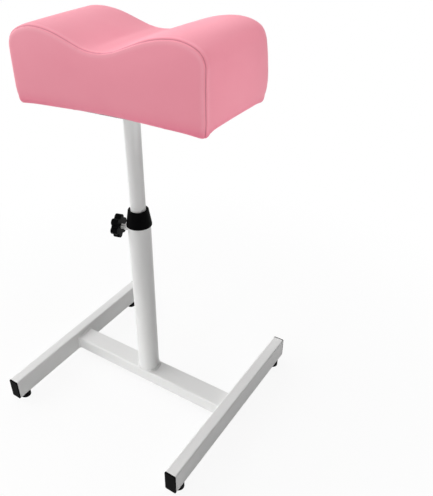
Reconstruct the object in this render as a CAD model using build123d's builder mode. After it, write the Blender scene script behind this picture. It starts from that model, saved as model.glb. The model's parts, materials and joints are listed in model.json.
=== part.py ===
from build123d import *
from math import cos, radians, sin
import os

os.makedirs("parts", exist_ok=True)

# A height-adjustable footrest: a welded H-shaped base, a lower post with a collar and a
# clamp knob, an upper post that slides and turns in it, and a saddle-shaped cushion.
# The origin is on the floor under the post, X runs along the cross bar and the cushion,
# Y along the legs towards the back, and Z up. Lengths are in millimetres.

# Base frame
base_width = 375.0
base_depth = 378.0
leg_width = 20.0
leg_height = 40.0
leg_wall = 1.5
leg_corner = 2.5
bar_width = 38.0
bar_height = 26.0
bar_wall = 1.5
bar_corner = 3.0
bar_lift = 2.5
bar_weld = 2.2

# Feet and end caps
foot_radius = 10.0
foot_height = 12.0
foot_chamfer = 1.2
foot_inset = 22.0
foot_stem_radius = 4.0
foot_stem_length = 9.0
foot_fit = 0.1
cap_thickness = 2.5
cap_plug_depth = 14.0
cap_plug_wall = 2.0
cap_edge = 0.8
cap_fit = 0.15

# Posts
lower_post_radius = 19.0
lower_post_wall = 1.5
lower_post_top = 352.0
upper_post_radius = 12.5
upper_post_wall = 1.5
post_weld = 2.5
post_end = 216.0
slider_length = 9.0
slider_plug_length = 15.0
slider_bore_radius = 6.0
slider_fit = 0.3
slider_plug_fit = 0.05

# Collar
collar_height = 24.5
collar_top_radius = 16.8
collar_lip_radius = 21.0
collar_lip_height = 2.2
collar_skirt_length = 3.0
collar_spigot_length = 32.0
collar_edge = 0.8
collar_mouth = 0.6
collar_fit = 0.1
collar_bore_fit = 0.08

# Clamp knob and its screw, on the side of the lower post
clamp_drop = 12.0
clamp_azimuth = -167.0
screw_radius = 4.0
screw_fit = 0.05
screw_tip_chamfer = 0.6
screw_hole_clearance = 0.8
boss_radius = 5.4
boss_end = 26.5
boss_edge = 0.5
pad_radius = 3.4
pad_length = 3.6
pad_pin_radius = 1.5
pad_pin_length = 3.0
pad_gap = 0.3
pad_joint_gap = 0.05
knob_lobes = 6
knob_radius = 19.7
knob_lobe_radius = 6.0
knob_core_radius = 14.4
knob_valley_fillet = 3.0
knob_start = 32.2
knob_thickness = 12.4
knob_edge = 1.6
knob_turned = 20.0
knob_socket_depth = 9.0

# Cushion
cushion_length = 327.0
cushion_width = 156.0
cushion_bottom = 548.3
cushion_shift_x = 6.0
cushion_shift_y = 5.0
crest_height = 110.5
crest_offset = 115.0
dip_height = 84.0
dip_radius = 100.0
wave_slope = 21.0
shoulder_turn = 28.5
corner_radius = 25.5
tuck_height = 22.0
tuck_depth = 7.0
panel_crown = 3.5
panel_draw = 3.0
seam_radius = 6.5
seam_inset = 4.0
hem_radius = 4.0
cover_thickness = 1.2
hem_width = 25.0
board_thickness = 12.0
board_corner = 8.0
board_clearance = 4.0
dust_thickness = 0.8
dust_margin = 9.0
dust_corner = 6.0

# Mounting plate under the cushion, its screws and the staples
plate_size = 80.0
plate_thickness = 3.0
plate_corner = 6.0
plate_weld = 2.5
plate_screw_inset = 10.0
plate_hole_clearance = 0.3
plate_screw_radius = 2.5
plate_screw_length = 11.0
plate_head_radius = 4.8
plate_head_height = 2.4
plate_screw_fit = 0.05
plate_cut_clearance = 1.0
staple_crown = 10.0
staple_wire = 1.0
staple_leg = 5.0
staple_inset = 16.0
staple_pitch = 24.0

# One cut overrun serves every hole and trim.
overrun = 5.0

# Places worked out from the sizes above
leg_centre_x = (base_width - leg_width) / 2
leg_floor = foot_height
leg_length = base_depth - 2 * cap_thickness
bar_bottom = leg_floor + bar_lift
bar_top = bar_bottom + bar_height
bar_middle = (bar_bottom + bar_top) / 2
bar_length = base_width - 2 * leg_width
foot_centre_y = base_depth / 2 - foot_inset
lower_bore_radius = lower_post_radius - lower_post_wall
upper_bore_radius = upper_post_radius - upper_post_wall
board_bottom = cushion_bottom + cover_thickness
plate_bottom = board_bottom - plate_thickness
plate_screw_spacing = plate_size - 2 * plate_screw_inset
plate_cut = plate_size + 2 * plate_cut_clearance
plate_cut_corner = plate_corner + plate_cut_clearance
clamp_height = lower_post_top - clamp_drop
corners = [(sx, sy) for sx in (-1, 1) for sy in (-1, 1)]
side_names = {-1: "left", 1: "right"}
end_names = {-1: "front", 1: "back"}


def clamp_plane(distance):
    """A plane across the clamp's axis, facing outward, at a distance from the post's axis."""
    out = Vector(cos(radians(clamp_azimuth)), sin(radians(clamp_azimuth)), 0)
    origin = out * distance + Vector(0, 0, clamp_height)
    return Plane(origin=origin, x_dir=(0, 0, 1), z_dir=out)


def save(name, part):
    """Labels a finished piece and writes it under its node's name."""
    part.label = name
    export_step(part, f"parts/{name}.step")


# Legs: rectangular tubes with a drilled hole for each foot's stem
for sx, side in side_names.items():
    with BuildPart() as leg:
        with BuildSketch(Plane.XZ.offset(-leg_length / 2)):
            with Locations((sx * leg_centre_x, leg_floor + leg_height / 2)):
                RectangleRounded(leg_width, leg_height, leg_corner)
                RectangleRounded(
                    leg_width - 2 * leg_wall, leg_height - 2 * leg_wall, leg_corner - leg_wall, mode=Mode.SUBTRACT
                )
        extrude(amount=leg_length)
        with BuildSketch(Plane.XY.offset(leg_floor - leg_wall)):
            with Locations((sx * leg_centre_x, -foot_centre_y), (sx * leg_centre_x, foot_centre_y)):
                Circle(foot_stem_radius + foot_fit)
        extrude(amount=3 * leg_wall, mode=Mode.SUBTRACT)
    save(f"{side}_leg", leg.part)

# Cross bar: a flat tube welded between the legs
with BuildPart() as cross_bar:
    with BuildSketch(Plane.YZ.offset(-bar_length / 2)):
        with Locations((0, bar_middle)):
            RectangleRounded(bar_width, bar_height, bar_corner)
            RectangleRounded(
                bar_width - 2 * bar_wall, bar_height - 2 * bar_wall, bar_corner - bar_wall, mode=Mode.SUBTRACT
            )
    extrude(amount=bar_length)
save("cross_bar", cross_bar.part)

# Weld beads round the bar's two ends
for sx, side in side_names.items():
    with BuildPart() as bar_bead:
        with BuildSketch(Plane.YZ.offset(sx * bar_length / 2)):
            with Locations((0, bar_middle)):
                RectangleRounded(bar_width + 2 * bar_weld, bar_height + 2 * bar_weld, bar_corner + bar_weld)
        extrude(amount=-sx * bar_weld, taper=45)
        with BuildSketch(Plane.YZ.offset(sx * bar_length / 2)):
            with Locations((0, bar_middle)):
                RectangleRounded(bar_width, bar_height, bar_corner)
        extrude(amount=-sx * bar_weld, mode=Mode.SUBTRACT)
    save(f"{side}_bar_weld", bar_bead.part)

# End caps: a thin face with an open plug pushed into the leg's tube
for sx, sy in corners:
    with BuildPart() as end_cap:
        with BuildSketch(Plane.XZ.offset(-sy * leg_length / 2)):
            with Locations((sx * leg_centre_x, leg_floor + leg_height / 2)):
                RectangleRounded(leg_width, leg_height, leg_corner)
        extrude(amount=-sy * cap_thickness)
        face_edges = end_cap.faces().sort_by(Axis.Y)[-1 if sy > 0 else 0].edges()
        fillet(face_edges, cap_edge)
        plug_width = leg_width - 2 * (leg_wall + cap_fit)
        plug_height = leg_height - 2 * (leg_wall + cap_fit)
        with BuildSketch(Plane.XZ.offset(-sy * leg_length / 2)):
            with Locations((sx * leg_centre_x, leg_floor + leg_height / 2)):
                RectangleRounded(plug_width, plug_height, leg_corner - leg_wall)
                Rectangle(plug_width - 2 * cap_plug_wall, plug_height - 2 * cap_plug_wall, mode=Mode.SUBTRACT)
        extrude(amount=sy * cap_plug_depth)
    save(f"{end_names[sy]}_{side_names[sx]}_cap", end_cap.part)

# Feet: round glides, each with a stem pushed through the leg's underside
for sx, sy in corners:
    with BuildPart() as foot:
        with Locations((sx * leg_centre_x, sy * foot_centre_y, 0)):
            Cylinder(foot_radius, foot_height, align=(Align.CENTER, Align.CENTER, Align.MIN))
        chamfer(foot.faces().sort_by(Axis.Z)[0].edges(), foot_chamfer)
        with Locations((sx * leg_centre_x, sy * foot_centre_y, foot_height)):
            Cylinder(foot_stem_radius, foot_stem_length, align=(Align.CENTER, Align.CENTER, Align.MIN))
    save(f"{end_names[sy]}_{side_names[sx]}_foot", foot.part)

# Lower post: a round tube on the bar, with a side hole for the clamp screw
with BuildPart() as lower_post:
    with BuildSketch(Plane.XY.offset(bar_top)):
        Circle(lower_post_radius)
        Circle(lower_bore_radius, mode=Mode.SUBTRACT)
    extrude(amount=lower_post_top - bar_top)
    with BuildSketch(clamp_plane(0)):
        Circle(screw_radius + screw_hole_clearance)
    extrude(amount=lower_post_radius + overrun, mode=Mode.SUBTRACT)
save("lower_post", lower_post.part)

# Weld bead at the post's foot, no wider than the bar it lies on
with BuildPart() as post_bead:
    with BuildSketch(Plane.XZ):
        with BuildLine():
            Polyline(
                (lower_post_radius, bar_top - bar_corner),
                (lower_post_radius + post_weld, bar_top - bar_corner),
                (lower_post_radius + post_weld, bar_top),
                (lower_post_radius, bar_top + post_weld),
                close=True,
            )
        make_face()
    revolve(axis=Axis.Z)
    with BuildSketch(Plane.YZ.offset(-bar_length / 2)):
        with Locations((0, bar_middle + bar_height)):
            Rectangle(bar_width, 3 * bar_height)
        with Locations((0, bar_middle)):
            RectangleRounded(bar_width, bar_height, bar_corner, mode=Mode.SUBTRACT)
    extrude(amount=bar_length, mode=Mode.INTERSECT)
save("post_weld", post_bead.part)

# Collar: a tapered head on the lower post's rim, with a spigot that guides the upper post
collar_top = lower_post_top + collar_height
collar_bore_radius = upper_post_radius + collar_bore_fit
with BuildPart() as collar:
    with BuildSketch(Plane.XZ):
        with BuildLine():
            skirt_bottom = lower_post_top - collar_skirt_length
            Polyline(
                (collar_bore_radius, lower_post_top - collar_spigot_length),
                (lower_bore_radius - collar_fit, lower_post_top - collar_spigot_length),
                (lower_bore_radius - collar_fit, lower_post_top),
                (lower_post_radius + collar_fit, lower_post_top),
                (lower_post_radius + collar_fit, skirt_bottom),
                (collar_lip_radius, skirt_bottom),
                (collar_lip_radius, skirt_bottom + collar_lip_height),
                (collar_top_radius, collar_top),
                (collar_bore_radius, collar_top),
                close=True,
            )
        make_face()
    revolve(axis=Axis.Z)
    top_edges = collar.edges().group_by(Axis.Z)[-1].sort_by(SortBy.RADIUS)
    fillet(top_edges[-1], collar_edge)
    chamfer(top_edges[0], collar_mouth)
    with BuildSketch(clamp_plane(0)):
        Circle(screw_radius + screw_hole_clearance)
    extrude(amount=lower_bore_radius + collar_fit, mode=Mode.SUBTRACT)
save("collar", collar.part)

# Threaded boss welded on the side of the lower post
with BuildPart() as clamp_boss:
    with BuildSketch(clamp_plane(0)):
        Circle(boss_radius)
        Circle(screw_radius + screw_fit, mode=Mode.SUBTRACT)
    extrude(amount=boss_end)
    chamfer(clamp_boss.edges().filter_by(GeomType.CIRCLE).sort_by(SortBy.RADIUS)[-1], boss_edge)
    with BuildSketch(Plane.XY.offset(clamp_height - 2 * boss_radius)):
        Circle(lower_post_radius)
    extrude(amount=4 * boss_radius, mode=Mode.SUBTRACT)
save("clamp_boss", clamp_boss.part)

# Pressure pad: rests against the upper post, with a pin in the screw's end
pad_start = upper_post_radius + pad_gap
screw_start = pad_start + pad_length + pad_joint_gap
with BuildPart() as clamp_pad:
    with BuildSketch(clamp_plane(pad_start)):
        Circle(pad_radius)
    extrude(amount=pad_length)
    with BuildSketch(clamp_plane(pad_start + pad_length)):
        Circle(pad_pin_radius)
    extrude(amount=pad_pin_length)
save("clamp_pad", clamp_pad.part)

# Clamp screw: runs through the boss and ends inside the knob
with BuildPart() as clamp_screw:
    with BuildSketch(clamp_plane(screw_start)):
        Circle(screw_radius)
    extrude(amount=knob_start + knob_socket_depth - screw_start)
    tip = clamp_screw.edges().filter_by(GeomType.CIRCLE).sort_by(Axis.X)[-1]
    chamfer(tip, screw_tip_chamfer)
    with BuildSketch(clamp_plane(screw_start)):
        Circle(pad_pin_radius + screw_fit)
    extrude(amount=pad_pin_length + screw_fit, mode=Mode.SUBTRACT)
save("clamp_screw", clamp_screw.part)

# Star knob, moulded on the screw
with BuildPart() as star_knob:
    with BuildSketch(clamp_plane(knob_start)):
        Circle(knob_core_radius)
        with PolarLocations(knob_radius - knob_lobe_radius, knob_lobes, start_angle=knob_turned):
            Circle(knob_lobe_radius)
        offset(amount=knob_valley_fillet)
        offset(amount=-knob_valley_fillet)
    extrude(amount=knob_thickness)
    face_edges = star_knob.edges().group_by(Axis(clamp_plane(0).origin, clamp_plane(0).z_dir))
    fillet(face_edges[-1], knob_edge)
    fillet(face_edges[0], knob_edge / 2)
    with BuildSketch(clamp_plane(knob_start)):
        Circle(screw_radius + screw_fit)
    extrude(amount=knob_socket_depth, mode=Mode.SUBTRACT)
save("star_knob", star_knob.part)

# Upper post: a round tube from its slider up to the mounting plate
with BuildPart() as upper_post:
    with BuildSketch(Plane.XY.offset(post_end)):
        Circle(upper_post_radius)
        Circle(upper_bore_radius, mode=Mode.SUBTRACT)
    extrude(amount=plate_bottom - post_end)
save("upper_post", upper_post.part)

# Slider: a plastic ring under the upper post that keeps it central in the lower post
with BuildPart() as post_slider:
    with BuildSketch(Plane.XZ):
        with BuildLine():
            Polyline(
                (slider_bore_radius, post_end - slider_length),
                (lower_bore_radius - slider_fit, post_end - slider_length),
                (lower_bore_radius - slider_fit, post_end),
                (upper_bore_radius - slider_plug_fit, post_end),
                (upper_bore_radius - slider_plug_fit, post_end + slider_plug_length),
                (slider_bore_radius, post_end + slider_plug_length),
                close=True,
            )
        make_face()
    revolve(axis=Axis.Z)
save("post_slider", post_slider.part)

# Mounting plate under the cushion's board
with BuildPart() as mounting_plate:
    with BuildSketch(Plane.XY.offset(plate_bottom)):
        RectangleRounded(plate_size, plate_size, plate_corner)
        with GridLocations(plate_screw_spacing, plate_screw_spacing, 2, 2):
            Circle(plate_screw_radius + plate_hole_clearance, mode=Mode.SUBTRACT)
    extrude(amount=plate_thickness)
save("mounting_plate", mounting_plate.part)

# Weld bead between the upper post and the plate
with BuildPart() as plate_bead:
    with BuildSketch(Plane.XZ):
        with BuildLine():
            Polyline(
                (upper_post_radius, plate_bottom),
                (upper_post_radius + plate_weld, plate_bottom),
                (upper_post_radius, plate_bottom - plate_weld),
                close=True,
            )
        make_face()
    revolve(axis=Axis.Z)
save("plate_weld", plate_bead.part)

# Screws that hold the plate to the board
with BuildPart() as plate_screws:
    with BuildSketch(Plane.XY.offset(plate_bottom - plate_head_height)):
        with GridLocations(plate_screw_spacing, plate_screw_spacing, 2, 2):
            Circle(plate_head_radius)
    extrude(amount=plate_head_height)
    fillet(plate_screws.faces().group_by(Axis.Z)[0].edges(), plate_head_height / 2)
    with BuildSketch(Plane.XY.offset(plate_bottom)):
        with GridLocations(plate_screw_spacing, plate_screw_spacing, 2, 2):
            Circle(plate_screw_radius)
    extrude(amount=plate_screw_length)
save("plate_screws", plate_screws.part)

# Board that carries the foam, with a pilot hole for each screw
with BuildPart() as base_board:
    board_length = cushion_length - 2 * (tuck_depth + cover_thickness + board_clearance)
    board_width = cushion_width - 2 * (panel_draw + cover_thickness + board_clearance)
    with BuildSketch(Plane.XY.offset(board_bottom)):
        with Locations((cushion_shift_x, cushion_shift_y)):
            RectangleRounded(board_length, board_width, board_corner)
    extrude(amount=board_thickness)
    with BuildSketch(Plane.XY.offset(board_bottom)):
        with GridLocations(plate_screw_spacing, plate_screw_spacing, 2, 2):
            Circle(plate_screw_radius + plate_screw_fit)
    pilot_depth = plate_screw_length - plate_thickness + plate_screw_fit
    extrude(amount=pilot_depth, mode=Mode.SUBTRACT)
save("base_board", base_board.part)


def cushion_form(inset):
    """The cushion's outer form, or the same form drawn in by an inset all round.

    The top is a wave of arcs: a dip, a straight slope, a hump, a shoulder and a corner.
    The ends tuck in at the bottom, and the front and back panels swell between their
    top seam and their bottom edge, which rolls under into the hem.
    """
    slope = radians(wave_slope)
    rise = crest_height - dip_height
    fall_share = 1 - cos(slope)
    arc_radii = (crest_offset * sin(slope) - rise * cos(slope)) / fall_share
    slope_run = rise * sin(slope) / fall_share - crest_offset
    turn = radians(shoulder_turn)
    shoulder_run = cushion_length / 2 - crest_offset - corner_radius * (1 - sin(turn))
    tuck_radius = (tuck_height**2 + tuck_depth**2) / (2 * tuck_depth)
    side_plane = Plane(origin=(cushion_shift_x, cushion_shift_y, cushion_bottom), z_dir=(0, -1, 0), x_dir=(1, 0, 0))
    end_plane = Plane(origin=side_plane.origin, z_dir=(1, 0, 0), x_dir=(0, 1, 0))
    half_length = cushion_length / 2
    half_width = cushion_width / 2
    with BuildPart() as form:
        with BuildSketch(side_plane):
            with BuildLine():
                dip = JernArc((0, dip_height), (1, 0), dip_radius, wave_slope)
                rising = Line(dip @ 1, dip @ 1 + (dip % 1) * slope_run)
                hump = JernArc(rising @ 1, rising % 1, arc_radii - dip_radius, -wave_slope)
                shoulder = JernArc(hump @ 1, hump % 1, shoulder_run / sin(turn), -shoulder_turn)
                corner = JernArc(shoulder @ 1, shoulder % 1, corner_radius, shoulder_turn - 90)
                end = Line(corner @ 1, (half_length, tuck_height))
                tuck = RadiusArc(end @ 1, (half_length - tuck_depth, 0), tuck_radius)
                Line(tuck @ 1, (0, 0))
                mirror(about=Plane.YZ)
            make_face()
            if inset:
                offset(amount=-inset, kind=Kind.INTERSECTION)
        extrude(amount=half_width, both=True)
        with BuildSketch(end_plane):
            with BuildLine():
                for side in (-1, 1):
                    ThreePointArc(
                        (side * (half_width - panel_draw), 0),
                        (side * half_width, crest_height / 2),
                        (side * (half_width - panel_crown), crest_height + overrun),
                    )
                top_y = half_width - panel_crown
                Line((-top_y, crest_height + overrun), (top_y, crest_height + overrun))
                Line((panel_draw - half_width, 0), (half_width - panel_draw, 0))
            make_face()
            if inset:
                offset(amount=-inset, kind=Kind.INTERSECTION)
        extrude(amount=half_length, both=True, mode=Mode.INTERSECT)
        panels = form.faces().sort_by(Axis.Y)
        base = form.faces().sort_by(Axis.Z)[0]
        for panel in (panels[0], panels[-1]):
            seam = [edge for edge in panel.edges() if edge not in base.edges()]
            fillet(seam, seam_radius - inset)
        fillet(form.faces().sort_by(Axis.Z)[0].edges(), hem_radius - inset)
    return form.part


# Foam: fills the cover and closes round the board
with BuildPart() as foam_core:
    add(cushion_form(cover_thickness))
    with BuildSketch(Plane.XY.offset(board_bottom)):
        with Locations((cushion_shift_x, cushion_shift_y)):
            RectangleRounded(board_length, board_width, board_corner)
    extrude(amount=board_thickness, mode=Mode.SUBTRACT)
save("foam_core", foam_core.part)

# Cover: one skin, with its hem turned in under the board, cut into its sewn panels
with BuildPart() as cover:
    add(cushion_form(0))
    add(cushion_form(cover_thickness), mode=Mode.SUBTRACT)
    with BuildSketch(Plane.XY.offset(cushion_bottom - overrun)):
        with Locations((cushion_shift_x, cushion_shift_y)):
            Rectangle(cushion_length - 2 * hem_width, cushion_width - 2 * hem_width)
        RectangleRounded(plate_cut, plate_cut, plate_cut_corner)
    extrude(amount=2 * overrun, mode=Mode.SUBTRACT)


def panel_zone(side):
    """The space of one long panel: all beyond its seam, and its hem under the board."""
    seam_y = cushion_shift_y + side * (cushion_width / 2 - seam_inset)
    hem_y = cushion_shift_y + side * (cushion_width / 2 - hem_width / 2)
    with BuildPart() as zone:
        with Locations((cushion_shift_x, seam_y, cushion_bottom)):
            Box(
                cushion_length + overrun,
                cushion_width,
                crest_height + overrun,
                align=(Align.CENTER, Align.MIN if side > 0 else Align.MAX, Align.MIN),
            )
        with Locations((cushion_shift_x, hem_y, cushion_bottom)):
            Box(
                cushion_length - 2 * hem_width,
                hem_width + overrun,
                cover_thickness,
                align=(Align.CENTER, Align.CENTER, Align.MIN),
            )
    return zone.part


for side, name in end_names.items():
    with BuildPart() as cover_panel:
        add(cover.part)
        add(panel_zone(side), mode=Mode.INTERSECT)
    save(f"cover_{name}_panel", cover_panel.part)

with BuildPart() as cover_strip:
    add(cover.part)
    for side in end_names:
        add(panel_zone(side), mode=Mode.SUBTRACT)
save("cover_top_strip", cover_strip.part)

# Dust cover over the hems, cut out round the plate
with BuildPart() as dust_cover:
    dust_length = cushion_length - 2 * (tuck_depth + dust_margin)
    dust_width = cushion_width - 2 * (panel_draw + dust_margin)
    with BuildSketch(Plane.XY.offset(cushion_bottom - dust_thickness)):
        with Locations((cushion_shift_x, cushion_shift_y)):
            RectangleRounded(dust_length, dust_width, dust_corner)
        RectangleRounded(plate_cut, plate_cut, plate_cut_corner, mode=Mode.SUBTRACT)
    extrude(amount=dust_thickness)
save("dust_cover", dust_cover.part)

# Staples through the dust cover and the hems into the board
row_length = cushion_length - 2 * (staple_inset + staple_crown)
row_count = int(row_length // staple_pitch) + 1
column_length = cushion_width - 2 * (staple_inset + staple_crown)
column_count = int(column_length // staple_pitch) + 1
staple_top = board_bottom + staple_leg
staple_bottom = cushion_bottom - dust_thickness - staple_wire
with BuildPart() as staples:
    centre = Location((cushion_shift_x, cushion_shift_y, staple_bottom))
    rows = [
        (staple_pitch, cushion_width - 2 * staple_inset, row_count, 2, staple_crown, staple_wire),
        (cushion_length - 2 * staple_inset, staple_pitch, 2, column_count, staple_wire, staple_crown),
    ]
    for x_pitch, y_pitch, x_count, y_count, x_size, y_size in rows:
        with Locations(centre):
            with GridLocations(x_pitch, y_pitch, x_count, y_count):
                Box(x_size, y_size, staple_wire, align=(Align.CENTER, Align.CENTER, Align.MIN))
                leg_x = max(x_size - staple_wire, 0)
                leg_y = max(y_size - staple_wire, 0)
                with GridLocations(leg_x, leg_y, 2 if leg_x else 1, 2 if leg_y else 1):
                    Box(
                        staple_wire,
                        staple_wire,
                        staple_top - staple_bottom,
                        align=(Align.CENTER, Align.CENTER, Align.MIN),
                    )
save("staples", staples.part)
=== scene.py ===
"""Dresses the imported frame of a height-adjustable pedicure footrest for a studio picture.

Most solids of the frame keep their places and only take a finish. The cushion, the weld beads,
the clamp screw, the board, the dust cloth, the plate screws and the staples are built here as
finer pieces that stand for their solids, and the stitches are added. Lengths are in metres, in
the frame's own axes: X along the cross bar, Y towards the back, Z up, with the origin on the
floor under the post.
"""

from __future__ import annotations

import json
import logging
import math
from dataclasses import dataclass, field
from enum import Enum
from typing import Any, Callable, Protocol, Sequence, Union

import bmesh
import bpy
import numpy as np
from mathutils import Matrix, Vector
from mathutils.kdtree import KDTree

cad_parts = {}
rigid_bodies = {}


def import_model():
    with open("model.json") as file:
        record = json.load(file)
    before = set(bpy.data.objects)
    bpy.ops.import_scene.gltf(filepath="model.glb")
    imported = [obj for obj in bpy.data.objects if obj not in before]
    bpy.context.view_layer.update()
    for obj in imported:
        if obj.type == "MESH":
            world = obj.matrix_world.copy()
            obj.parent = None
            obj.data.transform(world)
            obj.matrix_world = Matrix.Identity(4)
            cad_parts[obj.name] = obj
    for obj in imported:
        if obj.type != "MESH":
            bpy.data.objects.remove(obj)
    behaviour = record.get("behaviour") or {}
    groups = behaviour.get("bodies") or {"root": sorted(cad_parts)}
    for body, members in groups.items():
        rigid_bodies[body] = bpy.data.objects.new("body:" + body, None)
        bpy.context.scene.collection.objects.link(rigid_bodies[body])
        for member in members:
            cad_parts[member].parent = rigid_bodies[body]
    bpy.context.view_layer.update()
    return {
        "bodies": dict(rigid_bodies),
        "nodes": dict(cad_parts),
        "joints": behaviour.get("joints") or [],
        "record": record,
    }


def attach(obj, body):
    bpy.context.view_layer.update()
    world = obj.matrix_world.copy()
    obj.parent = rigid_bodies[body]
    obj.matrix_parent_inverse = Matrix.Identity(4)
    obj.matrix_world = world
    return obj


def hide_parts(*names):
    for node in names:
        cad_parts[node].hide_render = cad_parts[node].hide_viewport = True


LOG = logging.getLogger("footrest")
MM = 0.001
PHOTO_HEIGHT = 496
CUSHION_CENTRE = (6 * MM, 5 * MM)
PLATE_BOTTOM = 546.5 * MM
SINK = 0.35
ROUND_STEPS = np.radians((0, 30, 60, 90))
CLOTH = {
    "quality": 6,
    "mass": 0.3,
    "tension_stiffness": 20,
    "compression_stiffness": 20,
    "bending_stiffness": 0.5,
    "use_pressure": True,
    "vertex_group_mass": "hold",
}

Colour = tuple[float, float, float, float]
Number = Union["Reading", float]
Options = Union[dict[Any, Any], None]
Paths = Sequence[Sequence[Sequence[float]]]


class Body(Enum):
    """The frame's bodies that new pieces ride on."""

    BASE = "base"
    SEAT = "seat"
    KNOB = "knob"


class Slot(Enum):
    """The record's material slots, named when new pieces are hung."""

    POWDER_COAT = "white_powder_coat"
    VINYL = "pink_vinyl"
    PLYWOOD = "plywood"
    DUST_CLOTH = "dust_cloth"
    ZINC = "zinc_steel"


def paint(red: float, green: float, blue: float) -> Colour:
    """Turns a colour as it looks on a screen into the linear colour a shader takes.

    Args:
        red: Red from 0 to 255.
        green: Green from 0 to 255.
        blue: Blue from 0 to 255.

    Returns:
        The linear colour with an alpha of 1.
    """
    shares = [value / 255 for value in (red, green, blue)]
    linear = [s / 12.92 if s <= 0.04045 else ((s + 0.055) / 1.055) ** 2.4 for s in shares]
    return (linear[0], linear[1], linear[2], 1.0)


# Node trees


class Wiring:
    """Adds nodes to a tree: each gets its settings first and then its sockets' values or links."""

    def __init__(self, tree: bpy.types.NodeTree) -> None:
        """Keeps the tree that the nodes go into."""
        self.tree = tree

    def node(self, kind: str, settings: Options = None, sockets: Options = None) -> bpy.types.Node:
        """Adds one node.

        Args:
            kind: The node's type name.
            settings: Its settings, such as an operation, or "stops" for a ramp's stops.
            sockets: Values, readings or other sockets for its inputs, by identifier, name or place.

        Returns:
            The new node.
        """
        made = self.tree.nodes.new(kind)
        for name, value in (settings or {}).items():
            if name == "stops":
                self._set_stops(made.color_ramp, value)
            else:
                setattr(made, name, value)
        for key, value in (sockets or {}).items():
            self.plug(made, key, value)
        return made

    def read(self, kind: str, output: Any, settings: Options = None, sockets: Options = None) -> Reading:
        """Adds one node and returns one of its outputs as a reading."""
        return Reading(self, self.node(kind, settings, sockets).outputs[output])

    def seen_by(self, *rays: str) -> Reading:
        """Returns 1 for the named kinds of ray, such as Camera, and 0 for all others."""
        path = self.node("ShaderNodeLightPath").outputs
        return sum(Reading(self, path[f"Is {ray} Ray"]) for ray in rays)

    def plug(self, node: bpy.types.Node, key: Any, value: Any) -> None:
        """Sets one input of a node.

        Args:
            node: The node.
            key: The input's identifier, name or place.
            value: A value, a reading or a socket to link.
        """
        by_identifier = {socket.identifier: socket for socket in node.inputs}
        target = node.inputs[key] if isinstance(key, int) else by_identifier.get(key) or node.inputs[key]
        if isinstance(value, Reading):
            value = value.socket
        if isinstance(value, bpy.types.NodeSocket):
            self.tree.links.new(value, target)
        else:
            target.default_value = value

    @staticmethod
    def _set_stops(ramp: bpy.types.ColorRamp, stops: Sequence[tuple[float, Colour]]) -> None:
        """Gives a ramp its stops.

        Args:
            ramp: The ramp.
            stops: Places from 0 to 1 with their colours.
        """
        while len(ramp.elements) < len(stops):
            ramp.elements.new(1.0)
        for element, (place, colour) in zip(ramp.elements, stops):
            element.position = place
            element.color = colour


def operator(operation: str, reflected: bool = False) -> Callable[[Reading, Number], Reading]:
    """Makes the method behind one of a reading's operators.

    Args:
        operation: The Math node's operation.
        reflected: Whether the other value comes first.

    Returns:
        The method.
    """

    def method(self: Reading, other: Number) -> Reading:
        """Returns the result of the operation on self and the other value."""
        return self._math(operation, *((other, self) if reflected else (self, other)))

    return method


class Reading:
    """A number that varies over a surface or along a path. Python's operators add Math nodes."""

    def __init__(self, wiring: Wiring, socket: bpy.types.NodeSocket) -> None:
        """Wraps a socket of the wiring's tree."""
        self.wiring = wiring
        self.socket = socket

    def _math(self, operation: str, *values: Number) -> Reading:
        """Adds a Math node.

        Args:
            operation: The node's operation.
            values: Its inputs in order.

        Returns:
            The node's result.
        """
        return self.wiring.read("ShaderNodeMath", 0, {"operation": operation}, dict(enumerate(values)))

    __add__, __radd__ = operator("ADD"), operator("ADD", True)
    __sub__, __rsub__ = operator("SUBTRACT"), operator("SUBTRACT", True)
    __mul__, __rmul__ = operator("MULTIPLY"), operator("MULTIPLY", True)
    __truediv__, __rtruediv__ = operator("DIVIDE"), operator("DIVIDE", True)

    def sine(self) -> Reading:
        """Returns the sine of self, in radians."""
        return self._math("SINE", self)

    def around(self, middle: float, spread: float) -> Reading:
        """Turns noise around one half into values around the middle, spread over a width."""
        return self * spread + (middle - spread / 2)

    def at_least(self, floor: Number) -> Reading:
        """Returns self, or the floor where self is below it."""
        return self._math("MAXIMUM", self, floor)

    def between(self, low: float, high: float) -> Reading:
        """Returns a reading that goes smoothly from 0 at low to 1 at high."""
        sockets = {"Value": self, "From Min": low, "From Max": high}
        return self.wiring.read("ShaderNodeMapRange", "Result", {"interpolation_type": "SMOOTHSTEP"}, sockets)


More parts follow.
